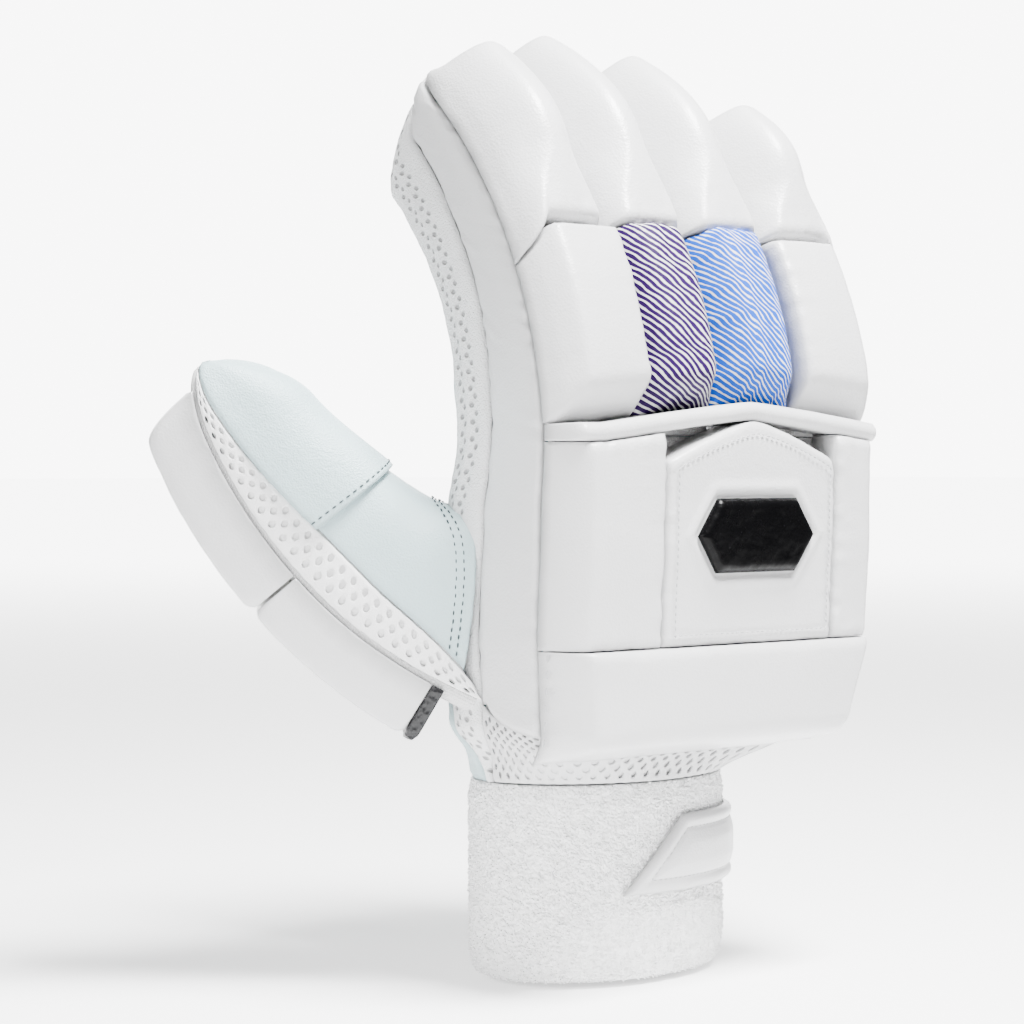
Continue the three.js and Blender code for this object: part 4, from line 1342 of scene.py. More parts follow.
def add_open_mesh(node, material, place, thick, band, sink, step):
    """An open mesh over a closed backing that lies a little below it. band is what the backing's wall
    is made from, and place gives the points of the open mesh."""
    under = wall_mesh(node, *band, shape=lambda patch, nearest: 0 * nearest - sink, step=step)
    backing = finish_piece(new_piece(node + "_backing", under, material), "air_mesh")
    name = node + "_open"
    run = np.linspace(0, 1, SAMPLES)
    across = arc_lengths(place(run, np.full(SAMPLES, 0.5), 0.0)[None], 1)[0, -1]
    along = arc_lengths(place(np.full(SAMPLES, 0.02), run, 0.0)[None], 1)[0, -1]
    mesh = lattice_mesh(name, place, across, along, sizes().hole_pitch / MM)
    piece = run_tree(name, mesh, "Perforated Mesh", material,
                     {"Opening": sizes().hole_share, "Thickness": thick})
    finish_piece(piece, "air_mesh", node)
    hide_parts(node)


def band_place(column, low, high, start, stop):
    """Points of a wall by shares across and along and a lift, for a lattice."""
    def place(across, along, lift):
        middle = column.section(np.array([20.0]))
        rough = mix(float(np.ravel(start(middle))[0]), float(np.ravel(stop(middle))[0]), across)
        s = mix(low(rough), high(rough), along)
        form = column.section(s)
        return ring(column, s, mix(start(form), stop(form), across), -lift)
    return place


class GLOVE_OT_hand(Operator):
    """Builds the knit back, the leather palm and the strips down both sides of the hand"""

    bl_idname = "glove.hand"
    bl_label = "Hand"

    def execute(self, context):
        def palm_shape(patch, nearest):
            middle = patch.along / patch.length
            creases = sum(
                np.exp(-((patch.along - place - 5 * np.sin(patch.across / 22 + place)) / 1.3) ** 2)
                for place in (38, 61, 83))
            creases = creases * smooth(nearest / 25)
            wrinkles = noise(patch.across / 9, patch.along / 5, 3) * 0.25
            return wrinkles - 0.7 * creases + 0.5 * np.sin(math.pi * middle)

        def bar_shape(patch, nearest):
            puff = 0.9 * np.sin(math.pi * clamp01(patch.across / patch.width))
            waves = 0.3 * noise(patch.along / 26, patch.across / 14, 5) * smooth(nearest / 5)
            gathers = sizes().pucker_depth / MM * noise(patch.along / 3.1, patch.across / 8, 6)
            return puff + waves + gathers * np.exp(-nearest / 5)

        add_wall("back_base", "knit", knit(), HAND, mesh_top, constant(HAND_LENGTH),
                 seam("back", -1), mirrored(seam("back", -1)), KNIT_WALL, step=3.5)
        add_wall("palm_leather", "palm_leather", palm_leather(), HAND, constant(0),
                 constant(HAND_LENGTH), seam("welt", 1), wrapped(seam("welt", 1)),
                 LEATHER_WALL, shape=palm_shape)
        for column, turned in ((FINGER_COLUMNS[0], as_is), (FINGER_COLUMNS[-1], mirrored)):
            long_side = SideColumn(column)
            bar = f"side_bar_{column.name}"
            add_wall(bar, "white_leather", white_leather(), long_side,
                     lambda turn: mesh_top(turn) - BAR_OVERLAP, constant(column.end),
                     turned(seam("back", 1)), turned(seam("bar", -1)), LEATHER_WALL,
                     shape=bar_shape, step=1.3, tip=True, nodes=(bar, bar + "_finger"))
            welt = f"side_welt_{column.name}"
            add_wall(welt, "suede", suede(), long_side, constant(0), constant(column.end),
                     turned(seam("bar", 1)), turned(seam("welt", -1)), LEATHER_WALL,
                     shape=welt_shape, step=0.9, tip=True, nodes=(welt, welt + "_finger"))
        return {"FINISHED"}


def welt_shape(patch, nearest):
    """A soft strip with a trough under each row of needle holes and a raised edge at the palm."""
    trough = np.exp(-((np.abs(patch.across - patch.width / 2) - NEEDLE_ROW) / 1.5) ** 2)
    rim = np.exp(-((patch.right - 2.6) / 0.8) ** 2)
    puff = 0.9 * np.sin(math.pi * clamp01(patch.across / patch.width))
    wander = 0.2 * noise(patch.along / 7, patch.across / 5, 7)
    grain = 0.1 * noise(patch.across / 1.8, patch.along / 1.8, 8)
    return puff - 0.4 * trough + 0.35 * rim + wander + grain


class GLOVE_OT_fingers(Operator):
    """Builds the knit backs and the leather palm sides of the fingers"""

    bl_idname = "glove.fingers"
    bl_label = "Fingers"

    def execute(self, context):
        def joint_shape(patch, nearest):
            share = patch.along / patch.length
            creases = sum(np.exp(-((share - place) * 30) ** 2) for place in (0.32, 0.36, 0.66, 0.7))
            foot = 2.6 * (1 - smooth((patch.s - HAND_LENGTH) / 32))
            uneven = 0.15 * noise(patch.across / 6, patch.along / 4, 9)
            return uneven - foot - 0.5 * creases * smooth(nearest / 4)

        start = constant(HAND_LENGTH + SEAM_GAP)
        for i, column in enumerate(FINGER_COLUMNS):
            end = constant(column.end)
            add_wall(f"finger_back_{column.name}", "knit", knit(), column, start, end,
                     seam("back" if i == 0 else "half", -1),
                     mirrored(seam("back" if i == LAST_FINGER else "half", -1)),
                     KNIT_WALL, tip=True, step=2.2, seams="lrt")
            add_wall(f"finger_leather_{column.name}", "palm_leather", palm_leather(), column, start,
                     end, seam("welt" if i == 0 else "half", 1),
                     wrapped(seam("welt" if i == LAST_FINGER else "half", 1)),
                     LEATHER_WALL, tip=True, shape=joint_shape, seams="lrt")
        return {"FINISHED"}


class GLOVE_OT_wristband(Operator):
    """Builds the towelling wristband, its loops and the open mesh above it"""

    bl_idname = "glove.wristband"
    bl_label = "Wristband"

    def execute(self, context):
        step = 0.95
        perimeter = math.pi * (WRIST_HALF_WIDTH + WRIST_HALF_DEPTH)
        cols = steps_for(perimeter, step)
        rows = steps_for(BAND_HEIGHT, step)
        turn = np.linspace(0, 360, cols)[None, :]
        up = np.linspace(0, 1, rows)[:, None]
        z = up * (BAND_HEIGHT - SEAM_GAP) + 0 * turn
        over = clamp01(1 - z / HEM_ROUND)
        roll = HEM_ROLL * (1 - np.sqrt(1 - over**2))
        x = perimeter * turn / 360 + 0 * up
        lumps = 0.25 * noise(x / 14, z / 14, 21) + 0.42 * noise(x / 1.25, z / 1.25, 22)
        ease = smooth((BAND_HEIGHT - z) / 6)
        lumps = lumps * ease - 0.8 * (1 - ease)

        def layer(inset):
            points = ring(HAND, 0 * z, turn + 0 * up, inset + roll)
            points[..., 2] = z
            return points

        flat = np.stack([x, z], axis=-1)
        # The edge value is painted shade, darkest along the band's top edge
        mesh = sheet_mesh("wristband_towel", layer(-lumps), layer(TOWEL_WALL), flat,
                          np.exp(-(BAND_HEIGHT - z) / 1.5), wrap=True)
        outside = mesh.copy()
        band = finish_piece(new_piece("wristband_towel", mesh, towelling()), "towelling", "wristband")
        area = perimeter * BAND_HEIGHT * MM**2
        if sizes().loop_count:
            keep_outer(outside, (rows - 1) * (cols - 1))
            loops = run_tree("wristband_loops", outside, "Towel Loops", towelling(),
                             {"Density": sizes().loop_count / area, "Height": sizes().loop_height})
            finish_piece(loops, "towelling")
        self.build_mesh()
        return {"FINISHED"}

    def build_mesh(self):
        """Builds the open mesh between the wristband and the pads."""
        start = seam("bar", -1)
        stop = mirrored(start)

        def place(across, along, lift):
            middle = HAND.section(np.array([10.0]))
            turn = mix(float(start(middle)[0]), float(stop(middle)[0]), across)
            top = mesh_top(turn)
            highest = float(mesh_top(start(middle))[0])
            even = along * highest
            plain = 0.6 * top
            s = np.minimum(even, plain) + (top - plain) * clamp01((even - plain) / (highest - plain))
            form = HAND.section(s)
            return ring(HAND, s, mix(start(form), stop(form), across), -lift)

        band = (HAND, constant(0), mesh_top, start, stop, MESH_WALL)
        add_open_mesh("wrist_mesh", wrist_mesh_in_painted_shade(), place, 0.0009, band, sink=1.1, step=3)


def keep_outer(mesh, count):
    """Keeps the first faces of a mesh, those of a sheet's outer face."""
    work = bmesh.new()
    work.from_mesh(mesh)
    work.faces.ensure_lookup_table()
    bmesh.ops.delete(work, geom=[face for face in work.faces if face.index >= count], context="FACES")
    work.to_mesh(mesh)
    work.free()


class GLOVE_OT_strap(Operator):
    """Builds the closing strap with its raised panel and border"""

    bl_idname = "glove.strap"
    bl_label = "Closing Strap"

    def execute(self, context):
        degree = math.pi * (WRIST_HALF_WIDTH + WRIST_HALF_DEPTH) / 360
        cols = 170
        rows = 34
        v = np.linspace(0, 1, cols)[None, :] ** 1.15
        u = np.linspace(0, 1, rows)[:, None]
        slant = (1 - u) * STRAP_SLANT * (1 - v) ** 4 / degree
        turn = mix(STRAP_START_DEG, STRAP_END_DEG, v) + slant
        z = STRAP_RISE + STRAP_WIDTH * u + 0 * v
        points = ring(HAND, 0 * z, turn, -2 * SEAM_GAP - STRAP_WALL)
        points[..., 2] = z
        across = (turn - STRAP_START_DEG) * -degree
        slant_gap = arc_lengths(points, 1) * 0.78
        edge_gap = np.minimum.reduce([z - STRAP_RISE, STRAP_RISE + STRAP_WIDTH - z, slant_gap,
                                      (v[:, -1:] - v) * 200 + 0 * z])
        groove = np.exp(-((edge_gap - STRAP_BORDER) / 0.7) ** 2)
        panel = 0.8 * smooth((edge_gap - STRAP_BORDER) / 5)
        uneven = 0.12 * noise(across / 7, z / 7, 31)
        lift = -1.6 * turned_in(edge_gap, 1.8) - 0.7 * groove + panel + uneven
        outer = ring(HAND, 0 * z, turn, -2 * SEAM_GAP - STRAP_WALL - lift)
        inner = ring(HAND, 0 * z, turn, -2 * SEAM_GAP + 0 * z)
        outer[..., 2] = z
        inner[..., 2] = z
        # The edge value is painted shade, darkest at the strap's borders
        mesh = sheet_mesh("closing_strap_leather", outer, inner, np.stack([across + 0 * z, z], axis=-1),
                          np.exp(-edge_gap / 1.0))
        piece = finish_piece(new_piece("closing_strap_leather", mesh, white_leather()),
                             "white_leather", "closing_strap")
        row = int(np.argmin(np.abs(z[:, 0] - STRAP_RISE - STRAP_BORDER)))
        high_row = int(np.argmin(np.abs(z[:, 0] - STRAP_RISE - STRAP_WIDTH + STRAP_BORDER)))
        stitched = range(row, high_row + 1)
        slant_cols = [int(np.argmin(np.abs(slant_gap[k] - STRAP_BORDER))) for k in stitched]
        end = cols - 4
        side = [outer[k, c] for k, c in zip(stitched, slant_cols)]
        low_line = [outer[row, c] for c in range(end, slant_cols[0], -1)]
        high_line = [outer[high_row, c] for c in range(slant_cols[-1], end)]
        add_stitches("closing_strap_stitches", [low_line + side + high_line],
                     thread("Pale thread", colours().pale_thread), "white_leather", pitch=0.0021,
                     width=0.0005)
        return {"FINISHED"}


def arch(x):
    """How far the piping rises towards the middle of the glove."""
    share = clamp01(np.abs(x - RIDGE) / ((ROW_RIGHT - ROW_LEFT) * 0.46))
    return PIPING_ARCH * (1 - share**1.15) - PIPING_DROP * (1 - share)


def piping_low(v):
    """The piping's lower edge, by the share across."""
    return BACK_ROW_HIGH + SEAM_GAP + arch(mix(ROW_LEFT, ROW_RIGHT, v))


def leather_shape(seed, folds=0.25, pucker=1.0):
    """Soft unevenness of a stuffed leather block, with gathers at its seams."""
    def shape(patch, nearest):
        depth = sizes().pucker_depth / MM * pucker
        along = noise(patch.s / 3.0, patch.v * 4, seed) * np.exp(
            -np.minimum(patch.gaps["left"], patch.gaps["right"]) / GATHER_REACH)
        across = noise(patch.v * 14, patch.u * 5, seed + 1) * np.exp(
            -np.minimum(patch.gaps["low"], patch.gaps["high"]) / GATHER_REACH)
        soft = folds * noise(patch.u * 3.1, patch.v * 2.3, seed + 2) * smooth(nearest / 8)
        return depth * (along + across) + soft
    return shape


class GLOVE_OT_back_pads(Operator):
    """Builds the wrist bar, the pads of the back, the badge and the piping"""

    bl_idname = "glove.back_pads"
    bl_label = "Back Pads"

    def execute(self, context):
        add_pad("wrist_bar", "white_leather", white_leather(), HAND, constant(BAR_RISE),
                constant(BAR_RISE + BAR_LENGTH + PAD_GAP / 2),
                lambda u: mix(ROW_LEFT + BAR_TAPER / 3, ROW_LEFT, u),
                lambda u: mix(ROW_RIGHT - BAR_TAPER, ROW_RIGHT, u), constant(BAR_HEIGHT),
                {"left": BEVEL, "right": BEVEL, "low": 5, "high": PAD_EDGE}, soft=0.25,
                shape=leather_shape(41), crown=1.2)
        low = constant(BACK_ROW_LOW)

        def under_piping(start, end):
            return lambda v: BACK_ROW_HIGH + arch(mix(start, end, v))

        add_pad("back_pad_thumb_side", "white_leather", white_leather(), HAND, low,
                under_piping(ROW_LEFT, ROW_LEFT + SIDE_PAD_WIDTH), constant(ROW_LEFT),
                constant(ROW_LEFT + SIDE_PAD_WIDTH), constant(PAD_HEIGHT),
                {"left": BEVEL, "right": TIGHT_EDGE, "low": TIGHT_EDGE, "high": TIGHT_EDGE}, soft=0.2,
                shape=leather_shape(44))
        add_pad("back_pad_little_side", "white_leather", white_leather(), HAND, low,
                under_piping(CENTRE_RIGHT + PAD_GAP, ROW_RIGHT),
                constant(CENTRE_RIGHT + PAD_GAP), constant(ROW_RIGHT), constant(PAD_HEIGHT),
                {"left": TIGHT_EDGE, "right": BEVEL, "low": TIGHT_EDGE, "high": TIGHT_EDGE}, soft=0.2,
                shape=leather_shape(47))
        self.centre_pad()
        add_pad("piping", "white_leather", white_leather(), HAND, piping_low,
                lambda v: piping_low(v) + PIPING_WIDTH, constant(ROW_LEFT), constant(ROW_RIGHT),
                constant(PIPING_HEIGHT),
                {"left": 5, "right": 5, "low": PIPING_WIDTH * 0.5, "high": PIPING_WIDTH * 0.5},
                soft=1, crown=0.3, step=0.7,
                shape=lambda patch, nearest: 0.15 * noise(patch.v * 20, patch.u, 51))
        self.badge()
        s = np.linspace(BAR_RISE + 3, BAR_RISE + BAR_LENGTH - 1, 20)
        add_stitches("wrist_bar_stitches", [HAND.place(s, ROW_LEFT + 0.5, 1.2)],
                     thread("Grey thread", colours().pale_thread), "white_leather", pitch=0.0045,
                     width=0.0009)
        return {"FINISHED"}

    def centre_pad(self):
        """Builds the centre pad, whose top edge is a low gable, and its row of stitches."""
        def roof(v):
            x = mix(CENTRE_LEFT, CENTRE_RIGHT, v)
            return BACK_ROW_HIGH + arch(x) - CENTRE_PAD_ROOF * np.abs(2 * v - 1) ** 1.5

        base = leather_shape(53, pucker=0.7)
        inset = 3.4

        def shape(patch, nearest):
            groove = np.exp(-((nearest - inset) / 0.5) ** 2)
            return base(patch, nearest) - 0.35 * groove + self.emboss(patch)

        add_pad("back_pad_centre", "white_leather", white_leather(), HAND, constant(BACK_ROW_LOW),
                roof, constant(CENTRE_LEFT), constant(CENTRE_RIGHT), constant(PAD_HEIGHT),
                {"left": 2.9, "right": 2.9, "low": PAD_EDGE, "high": PAD_EDGE}, soft=0.4,
                shape=shape, crown=0.6)
        v = np.linspace(inset / CENTRE_PAD_WIDTH, 1 - inset / CENTRE_PAD_WIDTH, 60)
        x = mix(CENTRE_LEFT, CENTRE_RIGHT, v)
        bottom = BACK_ROW_LOW + inset
        top = roof(v) - inset
        rim = PAD_HEIGHT - 0.05
        line = [(x[0], s) for s in np.linspace(bottom, top[0], 20)] + list(zip(x, top))
        line += [(x[-1], s) for s in np.linspace(top[-1], bottom, 20)]
        line += [(value, bottom) for value in np.linspace(x[-1], x[0], 40)]
        line = np.array(line)
        add_stitches("centre_pad_stitches", [HAND.place(line[:, 1], line[:, 0], rim)],
                     thread("Pale thread", colours().pale_thread), "white_leather", pitch=0.0022,
                     width=0.0005)

    def emboss(self, patch):
        """A soft swelling of the leather round the badge, with a moat beside it."""
        s = patch.s - (BACK_ROW_LOW + BADGE_RISE + BADGE_LENGTH / 2)
        x = (patch.v - 0.5) * CENTRE_PAD_WIDTH
        away = np.maximum(np.abs(s) - BADGE_LENGTH / 2, np.abs(x) + np.abs(s) * 0.7 - BADGE_WIDTH / 2)
        return 0.75 * np.exp(-((away - 3.2) / 1.7) ** 2) - 0.5 * np.exp(-((away - 0.4) / 0.9) ** 2)

    def badge(self):
        """Builds the plain plate on the centre pad."""
        rows = 25
        cols = 49
        along = np.linspace(-1, 1, rows)[:, None]
        across = np.linspace(-1, 1, cols)[None, :]
        reach = BADGE_WIDTH / 2 - BADGE_POINT * np.abs(along)
        s = BACK_ROW_LOW + BADGE_RISE + BADGE_LENGTH / 2 * (1 + along) + 0 * across
        x = RIDGE + across * reach
        gap = np.minimum((1 - np.abs(across)) * reach, (1 - np.abs(along)) * BADGE_LENGTH / 2)
        foot = PAD_HEIGHT + SEAM_GAP
        rise = BADGE_WALL * np.sin(clamp01(gap / 2.6) * math.pi / 2)
        ripple = 0.1 * noise(x / 2.6, s / 2.6, 61) * smooth(gap / 3)
        outer = HAND.place(s, x, foot + 0.2 + rise + ripple)
        inner = HAND.place(s, x, foot - 0.6 + 0 * rise)
        mesh = sheet_mesh("badge_gel", outer, inner, np.stack([x, s], axis=-1), np.exp(-gap))
        finish_piece(new_piece("badge_gel", mesh, gel()), "black_gel", "badge")


def corner_cut(x):
    """How far the seam over the knuckle pads drops at the glove's two edges."""
    edge = np.minimum(x - ROW_LEFT, ROW_RIGHT - x)
    return CORNER_CUT * (1 - clamp01(edge / BEVEL))


class GLOVE_OT_knuckle_pads(Operator):
    """Builds the row of knuckle pads, two of them with a hatched print"""

    bl_idname = "glove.knuckle_pads"
    bl_label = "Knuckle Pads"

    def execute(self, context):
        half = (FINGER_PITCH - PAD_GAP) / 2
        for i, column in enumerate(FINGER_COLUMNS):
            left = finger_centre(i) - half
            right = finger_centre(i) + half
            first = i == 0
            last = i == LAST_FINGER
            outer = first or last

            def start(v):
                place = (mix(left, right, v) - ROW_LEFT) / (ROW_RIGHT - ROW_LEFT)
                return piping_low(place) + PIPING_WIDTH + SEAM_GAP

            def end(v):
                return KNUCKLE_HIGH - corner_cut(mix(left, right, v))

            if outer:
                edges = {"left": BEVEL if first else PAD_EDGE, "right": BEVEL if last else PAD_EDGE,
                         "low": PILLOW_EDGE, "high": 3}
            else:
                edges = {"left": PILLOW_EDGE, "right": PILLOW_EDGE, "low": PILLOW_EDGE,
                         "high": PAD_EDGE}
            material, slot = self.look(i)
            add_pad(f"knuckle_pad_{column.name}", slot, material, column, start, end,
                    constant(left - OVERHANG * first), constant(right + OVERHANG * last),
                    constant(PAD_HEIGHT), edges,
                    soft=0.2 if outer else 1, shape=leather_shape(71 + 4 * i, pucker=1 if outer else 2),
                    stuffing=0 if outer else sizes().pillow_rise, crown=0.8 if outer else 1.5)
        return {"FINISHED"}

    def look(self, i):
        """A knuckle pad's material and slot."""
        inks = {1: ("Violet hatched leather", colours().violet_ink, "violet_print", 2.7, 0.42),
                2: ("Blue hatched leather", colours().blue_ink, "blue_print", 2.45, 0.62)}
        if i not in inks:
            return white_leather(), "white_leather"
        name, ink, slot, spacing, weight = inks[i]
        material = finish_material(
            name, colours().white_leather, "Leather Grain", LEATHER_SCALES, 0.00016, (0.5, 0.6),
            ink=(ink, {"Line Spacing": spacing, "Line Weight": weight}), specular=0.12)
        return material, slot


class GLOVE_OT_finger_rolls(Operator):
    """Builds the round pads along the fingers"""

    bl_idname = "glove.finger_rolls"
    bl_label = "Finger Rolls"

    def execute(self, context):
        half = (FINGER_PITCH - PAD_GAP) / 2
        start = KNUCKLE_HIGH + PAD_GAP

        def height(u):
            rise = mix(PAD_HEIGHT - ROLL_FOOT_DROP, ROLL_HEIGHT, smooth(2 * u))
            return rise - ROLL_TIP_DROP * smooth(2 * u - 1)

        def flank(u):
            return mix(7, 16, smooth(3 * u))

        for i, column in enumerate(FINGER_COLUMNS):
            centre = finger_centre(i)

            def half_width(u):
                into = clamp01((u - 1) * ((column.end - start) / ROLL_END_ROUND) + 1)
                return mix(ROLL_END_WIDTH / 2, half, np.sqrt(1 - into**2))

            def low(v):
                return start - corner_cut(mix(centre - half, centre + half, v))

            def left(u):
                return centre - half_width(u) - OVERHANG * (i == 0)

            def right(u):
                return centre + half_width(u) + OVERHANG * (i == LAST_FINGER)

            add_pad(f"finger_roll_{column.name}", "white_leather", white_leather(), column,
                    low, constant(column.end), left, right, height,
                    {"left": flank, "right": flank, "low": 2.4, "high": 9}, soft=1,
                    crown=0.6, shape=leather_shape(91 + 4 * i, folds=0.45, pucker=1.2),
                    stuffing=sizes().pillow_rise * 0.6)
        return {"FINISHED"}


class GLOVE_OT_thumb(Operator):
    """Builds the thumb's leather, open mesh and pads"""

    bl_idname = "glove.thumb"
    bl_label = "Thumb"

    def leaving(self, depth=0.0):
        """s at which a line along the thumb leaves the hand, for each turn."""
        s = np.linspace(0, 90, 181)[:, None]
        turns = np.linspace(-360, 360, 241)
        points = ring(THUMB, s, turns[None, :])
        inside = outside_hand(points) < 0
        last = np.where(inside.any(0), len(s) - 1 - np.argmax(inside[::-1], axis=0), 0)
        start = s[last, 0] - depth
        return lambda turn: np.interp(turn, turns, start)

    def execute(self, context):
        low = self.leaving(1.0)

        def base_shape(patch, nearest):
            bent = patch.along / 7 + noise(patch.across / 9, patch.along / 9, 112)
            folds = np.exp(-((noise(bent, patch.across / 16, 111) / 0.16) ** 2))
            place = np.exp(-((patch.share - 0.33) / 0.16) ** 2) * np.exp(
                -((patch.along / patch.length - 0.6) / 0.25) ** 2)
            return 0.4 * noise(patch.along / 16, patch.across / 16, 113) - 0.6 * folds * place

        def tip_shape(patch, nearest):
            lift = (LEATHER_WALL + 2 * SEAM_GAP) * (
                1 - smooth((patch.s - THUMB_SEAM - THUMB_OVERLAP) / THUMB_LIFT_LENGTH))
            soft = smooth(nearest / 5) * smooth((THUMB_LENGTH - patch.s) / 12)
            return lift + 0.35 * noise(patch.along / 14, patch.across / 12, 115) * soft

        add_wall("thumb_leather_base", "palm_leather", palm_leather(), THUMB, low,
                 constant(THUMB_SEAM + THUMB_OVERLAP), seam("half", 1), wrapped(seam("half", 1)),
                 LEATHER_WALL, shape=base_shape, step=1.3, seams="lr", tuck=0.3)
        add_wall("thumb_leather_tip", "palm_leather", palm_leather(), THUMB, constant(THUMB_SEAM),
                 constant(THUMB_LENGTH), seam("half", 1), wrapped(seam("half", 1)), LEATHER_WALL,
                 shape=tip_shape, tip=True, step=1.3, seams="lrb", tuck=0.3)
        add_wall("thumb_back", "knit", knit(), THUMB, low, constant(THUMB_LENGTH), seam("back", -1),
                 mirrored(seam("back", -1)), KNIT_WALL, tip=True, step=2.2)
        mesh_end = constant(THUMB_LENGTH - 1)
        for side, turned in (("front", mirrored), ("rear", as_is)):
            band = (THUMB, low, mesh_end, turned(seam("back", 1)), turned(seam("half", -1)))
            add_open_mesh(f"thumb_mesh_{side}", air_mesh(), band_place(*band), 0.0008,
                          (*band, LEATHER_WALL), sink=1.0, step=2)
        self.pads()
        self.stitches(low)
        return {"FINISHED"}

    def pads(self):
        """Builds the two pads of the thumb and the near-black sheet at the root end of one."""
        left = constant(PAD_GAP - THUMB_WIDTH / 2)
        right = constant(THUMB_WIDTH / 2 - PAD_GAP)
        flanks = {"left": THUMB_PAD_EDGE, "right": THUMB_PAD_EDGE}

        def gathered(patch, nearest):
            gap = patch.gaps["high"]
            folds = 0.8 * np.exp(-gap / 9) * np.sin(patch.v * 34) * np.sin(math.pi * clamp01(gap / 12))
            return leather_shape(121)(patch, nearest) + folds

        add_pad("thumb_pad_base", "white_leather", white_leather(), THUMB, constant(THUMB_PAD_START),
                constant(THUMB_PAD_SPLIT - PAD_GAP), left, right, constant(THUMB_PAD_HEIGHT),
                {**flanks, "low": 2, "high": 2.4}, soft=0.35, shape=leather_shape(125))
        add_pad("thumb_pad_tip", "white_leather", white_leather(), THUMB, constant(THUMB_PAD_SPLIT),
                constant(THUMB_LENGTH - THUMB_PAD_TIP_GAP), left, right, constant(THUMB_PAD_HEIGHT),
                {**flanks, "low": 2.4, "high": 10}, soft=0.6, shape=gathered)
        # A near-black sheet across the root end of the base thumb pad
        mesh = pad_mesh("thumb_pad_liner", THUMB,
                        constant(THUMB_PAD_START - SEAM_GAP - THUMB_LINER_WALL),
                        constant(THUMB_PAD_START - SEAM_GAP), left, right,
                        constant(THUMB_PAD_HEIGHT), {**flanks, "low": 0.5, "high": 0.5},
                        soft=0.4, step=0.8,
                        shape=lambda patch, nearest: 0.5 * noise(patch.v * 9, patch.u, 131))
        finish_piece(new_piece("thumb_pad_liner_skin", mesh, lining()), "dark_lining",
                     "thumb_pad_liner")

    def stitches(self, low):
        """Builds the rows of stitches over the thumb's lap and round its root."""
        share = np.linspace(0.01, 0.99, 90)
        edge = seam("half", 1)

        def turns(s):
            form = THUMB.section(s)
            return mix(edge(form), wrapped(edge)(form), share)

        def row(s, lift):
            return ring(THUMB, s, turns(s), -lift)

        def root_row(offset):
            return row(low(turns(np.full(share.shape, 30.0))) + offset, 0.15)

        dark = thread("Dark thread", colours().thread)
        fold = LEATHER_WALL + 2 * SEAM_GAP
        add_stitches("thumb_stitches",
                     [row(np.full(share.shape, THUMB_SEAM + 2.4), fold + 0.1), root_row(6.2),
                      root_row(9.4)], dark, "palm_leather")


def view_ahead():
    """The level direction in which the photo's camera looks."""
    azimuth = math.radians(CAMERA_AZIMUTH)
    return -math.sin(azimuth), math.cos(azimuth), 0


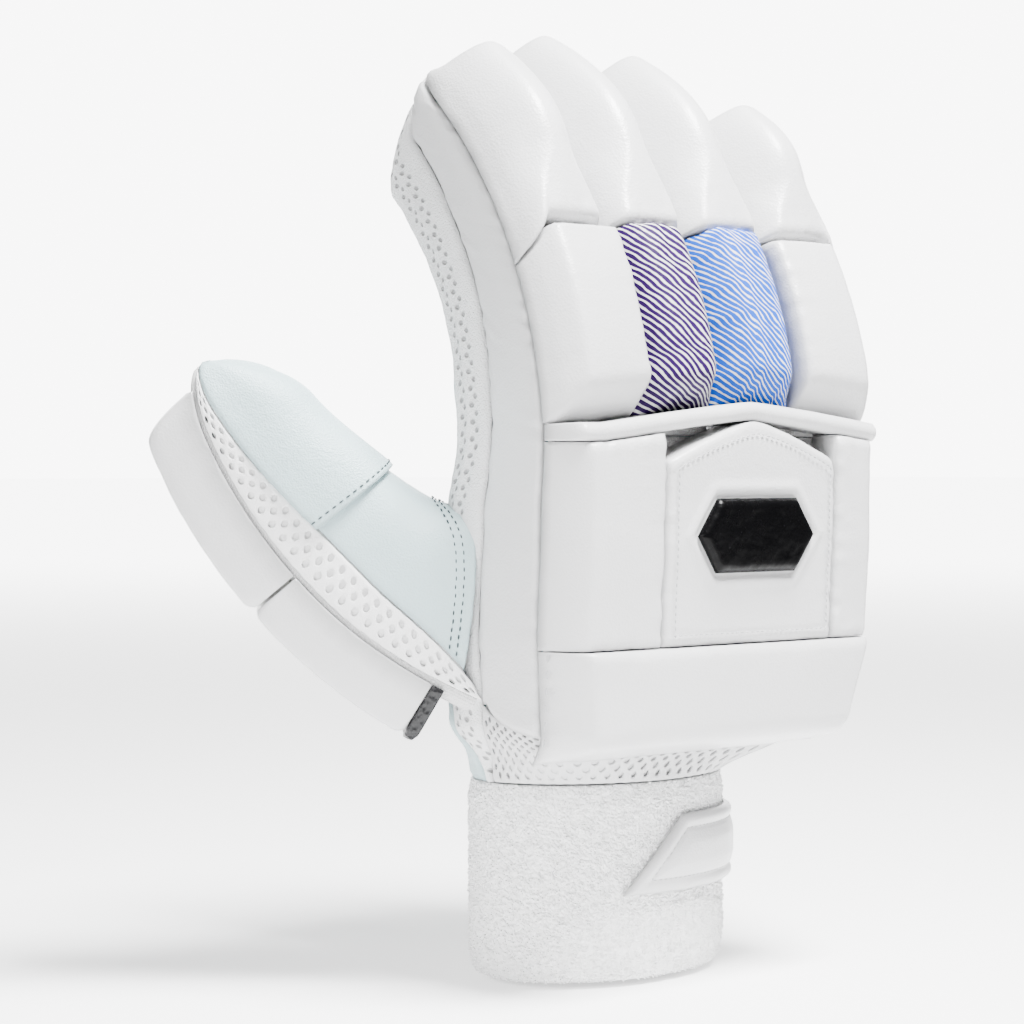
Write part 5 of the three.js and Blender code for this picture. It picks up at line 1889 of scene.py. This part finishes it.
class GLOVE_OT_stage(Operator):
    """Sets the floor, the lights and the camera"""

    bl_idname = "glove.stage"
    bl_label = "Stage"

    def execute(self, context):
        scene = context.scene
        self.camera(scene)
        self.floor(scene)
        scene.world = self.room()
        target = Vector(CAMERA_TARGET) * MM
        for name, place, power, size in LIGHTS:
            data = bpy.data.lights.new(name, "AREA")
            data.energy = power
            data.size = size
            light = bpy.data.objects.new(name, data)
            light.location = target + Vector(place)
            light.rotation_euler = (target - light.location).to_track_quat("-Z", "Y").to_euler()
            scene.collection.objects.link(light)
        return {"FINISHED"}

    def room(self):
        """A white room that is brightest behind the glove."""
        world = bpy.data.worlds.new("White room")
        world.use_nodes = True
        w = Wires(world.node_tree)
        world.node_tree.nodes["Background"].inputs["Color"].default_value = (1, 1, 1, 1)
        look = w.node("ShaderNodeTexCoord")
        ahead = w.node("ShaderNodeVectorMath", operation="DOT_PRODUCT")
        w.join(look.outputs["Generated"], ahead.inputs[0])
        ahead.inputs[1].default_value = view_ahead()
        level = self.slope(w, ahead.outputs["Value"], 0.8, 0.95, ROOM_LEVEL, BACKDROP_LEVEL)
        w.join(level, world.node_tree.nodes["Background"].inputs["Strength"])
        return world

    def slope(self, w, value, start, stop, low, high):
        """A soft slope from low at start to high at stop."""
        made = w.node("ShaderNodeMapRange", interpolation_type="SMOOTHSTEP")
        w.join(value, made.inputs["Value"])
        made.inputs["From Min"].default_value = start
        made.inputs["From Max"].default_value = stop
        made.inputs["To Min"].default_value = low
        made.inputs["To Max"].default_value = high
        return made.outputs["Result"]

    def camera(self, scene):
        azimuth = math.radians(CAMERA_AZIMUTH)
        elevation = math.radians(CAMERA_ELEVATION)
        back = Vector((math.sin(azimuth) * math.cos(elevation),
                       -math.cos(azimuth) * math.cos(elevation), math.sin(elevation)))
        data = bpy.data.cameras.new("Camera")
        data.lens = CAMERA_LENS
        data.clip_start = 0.01
        data.clip_end = 50
        camera = bpy.data.objects.new("Camera", data)
        camera.location = (Vector(CAMERA_TARGET) + back * CAMERA_DISTANCE) * MM
        camera.rotation_euler = (-back).to_track_quat("-Z", "Y").to_euler()
        scene.collection.objects.link(camera)
        scene.camera = camera

    def floor(self, scene):
        """A sheet of paper that glows, as painted light: its glow grows away from the glove, and only a
        wedge that opens out from the camera's place, behind the glove, glows and is coloured lighter.
        """
        mesh = bpy.data.meshes.new("Floor")
        corners = [(x * FLOOR_SIZE, y * FLOOR_SIZE, FLOOR_LEVEL)
                   for x, y in ((-1, -1), (1, -1), (1, 1), (-1, 1))]
        mesh.from_pydata(corners, [], [(0, 1, 2, 3)])
        floor = bpy.data.objects.new("Floor", mesh)
        glowing_paper = bpy.data.materials.new("Paper")
        glowing_paper.use_nodes = True
        shader = glowing_paper.node_tree.nodes["Principled BSDF"]
        shader.inputs["Roughness"].default_value = 1.0
        shader.inputs["Specular IOR Level"].default_value = 0.0
        shader.inputs["Emission Color"].default_value = (1, 1, 1, 1)
        w = Wires(glowing_paper.node_tree)
        place = w.node("ShaderNodeTexCoord").outputs["Object"]
        away = w.node("ShaderNodeVectorMath", operation="LENGTH")
        w.join(place, away.inputs[0])
        eye = w.node("ShaderNodeVectorMath", operation="SUBTRACT")
        w.join(place, eye.inputs[0])
        eye.inputs[1].default_value = scene.camera.location
        x, y, _ = view_ahead()
        depth = w.node("ShaderNodeVectorMath", operation="DOT_PRODUCT")
        w.join(eye.outputs["Vector"], depth.inputs[0])
        depth.inputs[1].default_value = (x, y, 0)
        side = w.node("ShaderNodeVectorMath", operation="DOT_PRODUCT")
        w.join(eye.outputs["Vector"], side.inputs[0])
        side.inputs[1].default_value = (y, -x, 0)
        ratio = w.math("DIVIDE", w.math("ABSOLUTE", side.outputs["Value"]),
                       w.math("MAXIMUM", depth.outputs["Value"], 0.01))
        # Painted light: the wedge that opens out from the camera's place, where the floor glows
        lit = self.slope(w, ratio, 0.22, 0.5, 1.0, 0.0)
        glow = self.slope(w, away.outputs["Value"], 0.3, 4.0, FLOOR_GLOW, BACKDROP_LEVEL * 0.85)
        w.join(w.math("MULTIPLY", glow, lit), shader.inputs["Emission Strength"])
        # Painted light: the paper's colour is lighter inside the wedge and darker outside it
        tone = w.node("ShaderNodeMix", data_type="RGBA")
        w.join(lit, tone.inputs["Factor"])
        tone.inputs["A"].default_value = (0.3, 0.3, 0.3, 1)
        tone.inputs["B"].default_value = (0.9, 0.9, 0.9, 1)
        w.join(tone.outputs["Result"], shader.inputs["Base Color"])
        mesh.materials.append(glowing_paper)
        scene.collection.objects.link(floor)


class GLOVE_PT_panel(Panel):
    """Lists the steps of the glove"""

    bl_label = "Batting Glove"
    bl_idname = "GLOVE_PT_panel"
    bl_space_type = "VIEW_3D"
    bl_region_type = "UI"
    bl_category = "Glove"

    def draw(self, context):
        column = self.layout.column()
        for step in STEPS:
            column.operator(step.bl_idname)
        for settings in (context.scene.glove_sizes, context.scene.glove_colours):
            for name in settings.bl_rna.properties.keys():
                if name not in ("rna_type", "name"):
                    column.prop(settings, name)


STEPS = [GLOVE_OT_hand, GLOVE_OT_fingers, GLOVE_OT_wristband, GLOVE_OT_strap, GLOVE_OT_back_pads,
         GLOVE_OT_knuckle_pads, GLOVE_OT_finger_rolls, GLOVE_OT_thumb, GLOVE_OT_stage]


def register():
    for made in (GloveSizes, GloveColours, *STEPS, GLOVE_PT_panel):
        bpy.utils.register_class(made)
    bpy.types.Scene.glove_sizes = PointerProperty(type=GloveSizes)
    bpy.types.Scene.glove_colours = PointerProperty(type=GloveColours)


def unregister():
    del bpy.types.Scene.glove_colours
    del bpy.types.Scene.glove_sizes
    for made in reversed((GloveSizes, GloveColours, *STEPS, GLOVE_PT_panel)):
        bpy.utils.unregister_class(made)


def main():
    register()
    for step in STEPS:
        group, name = step.bl_idname.split(".")
        getattr(getattr(bpy.ops, group), name)()


if __name__ == "__main__":
    main()
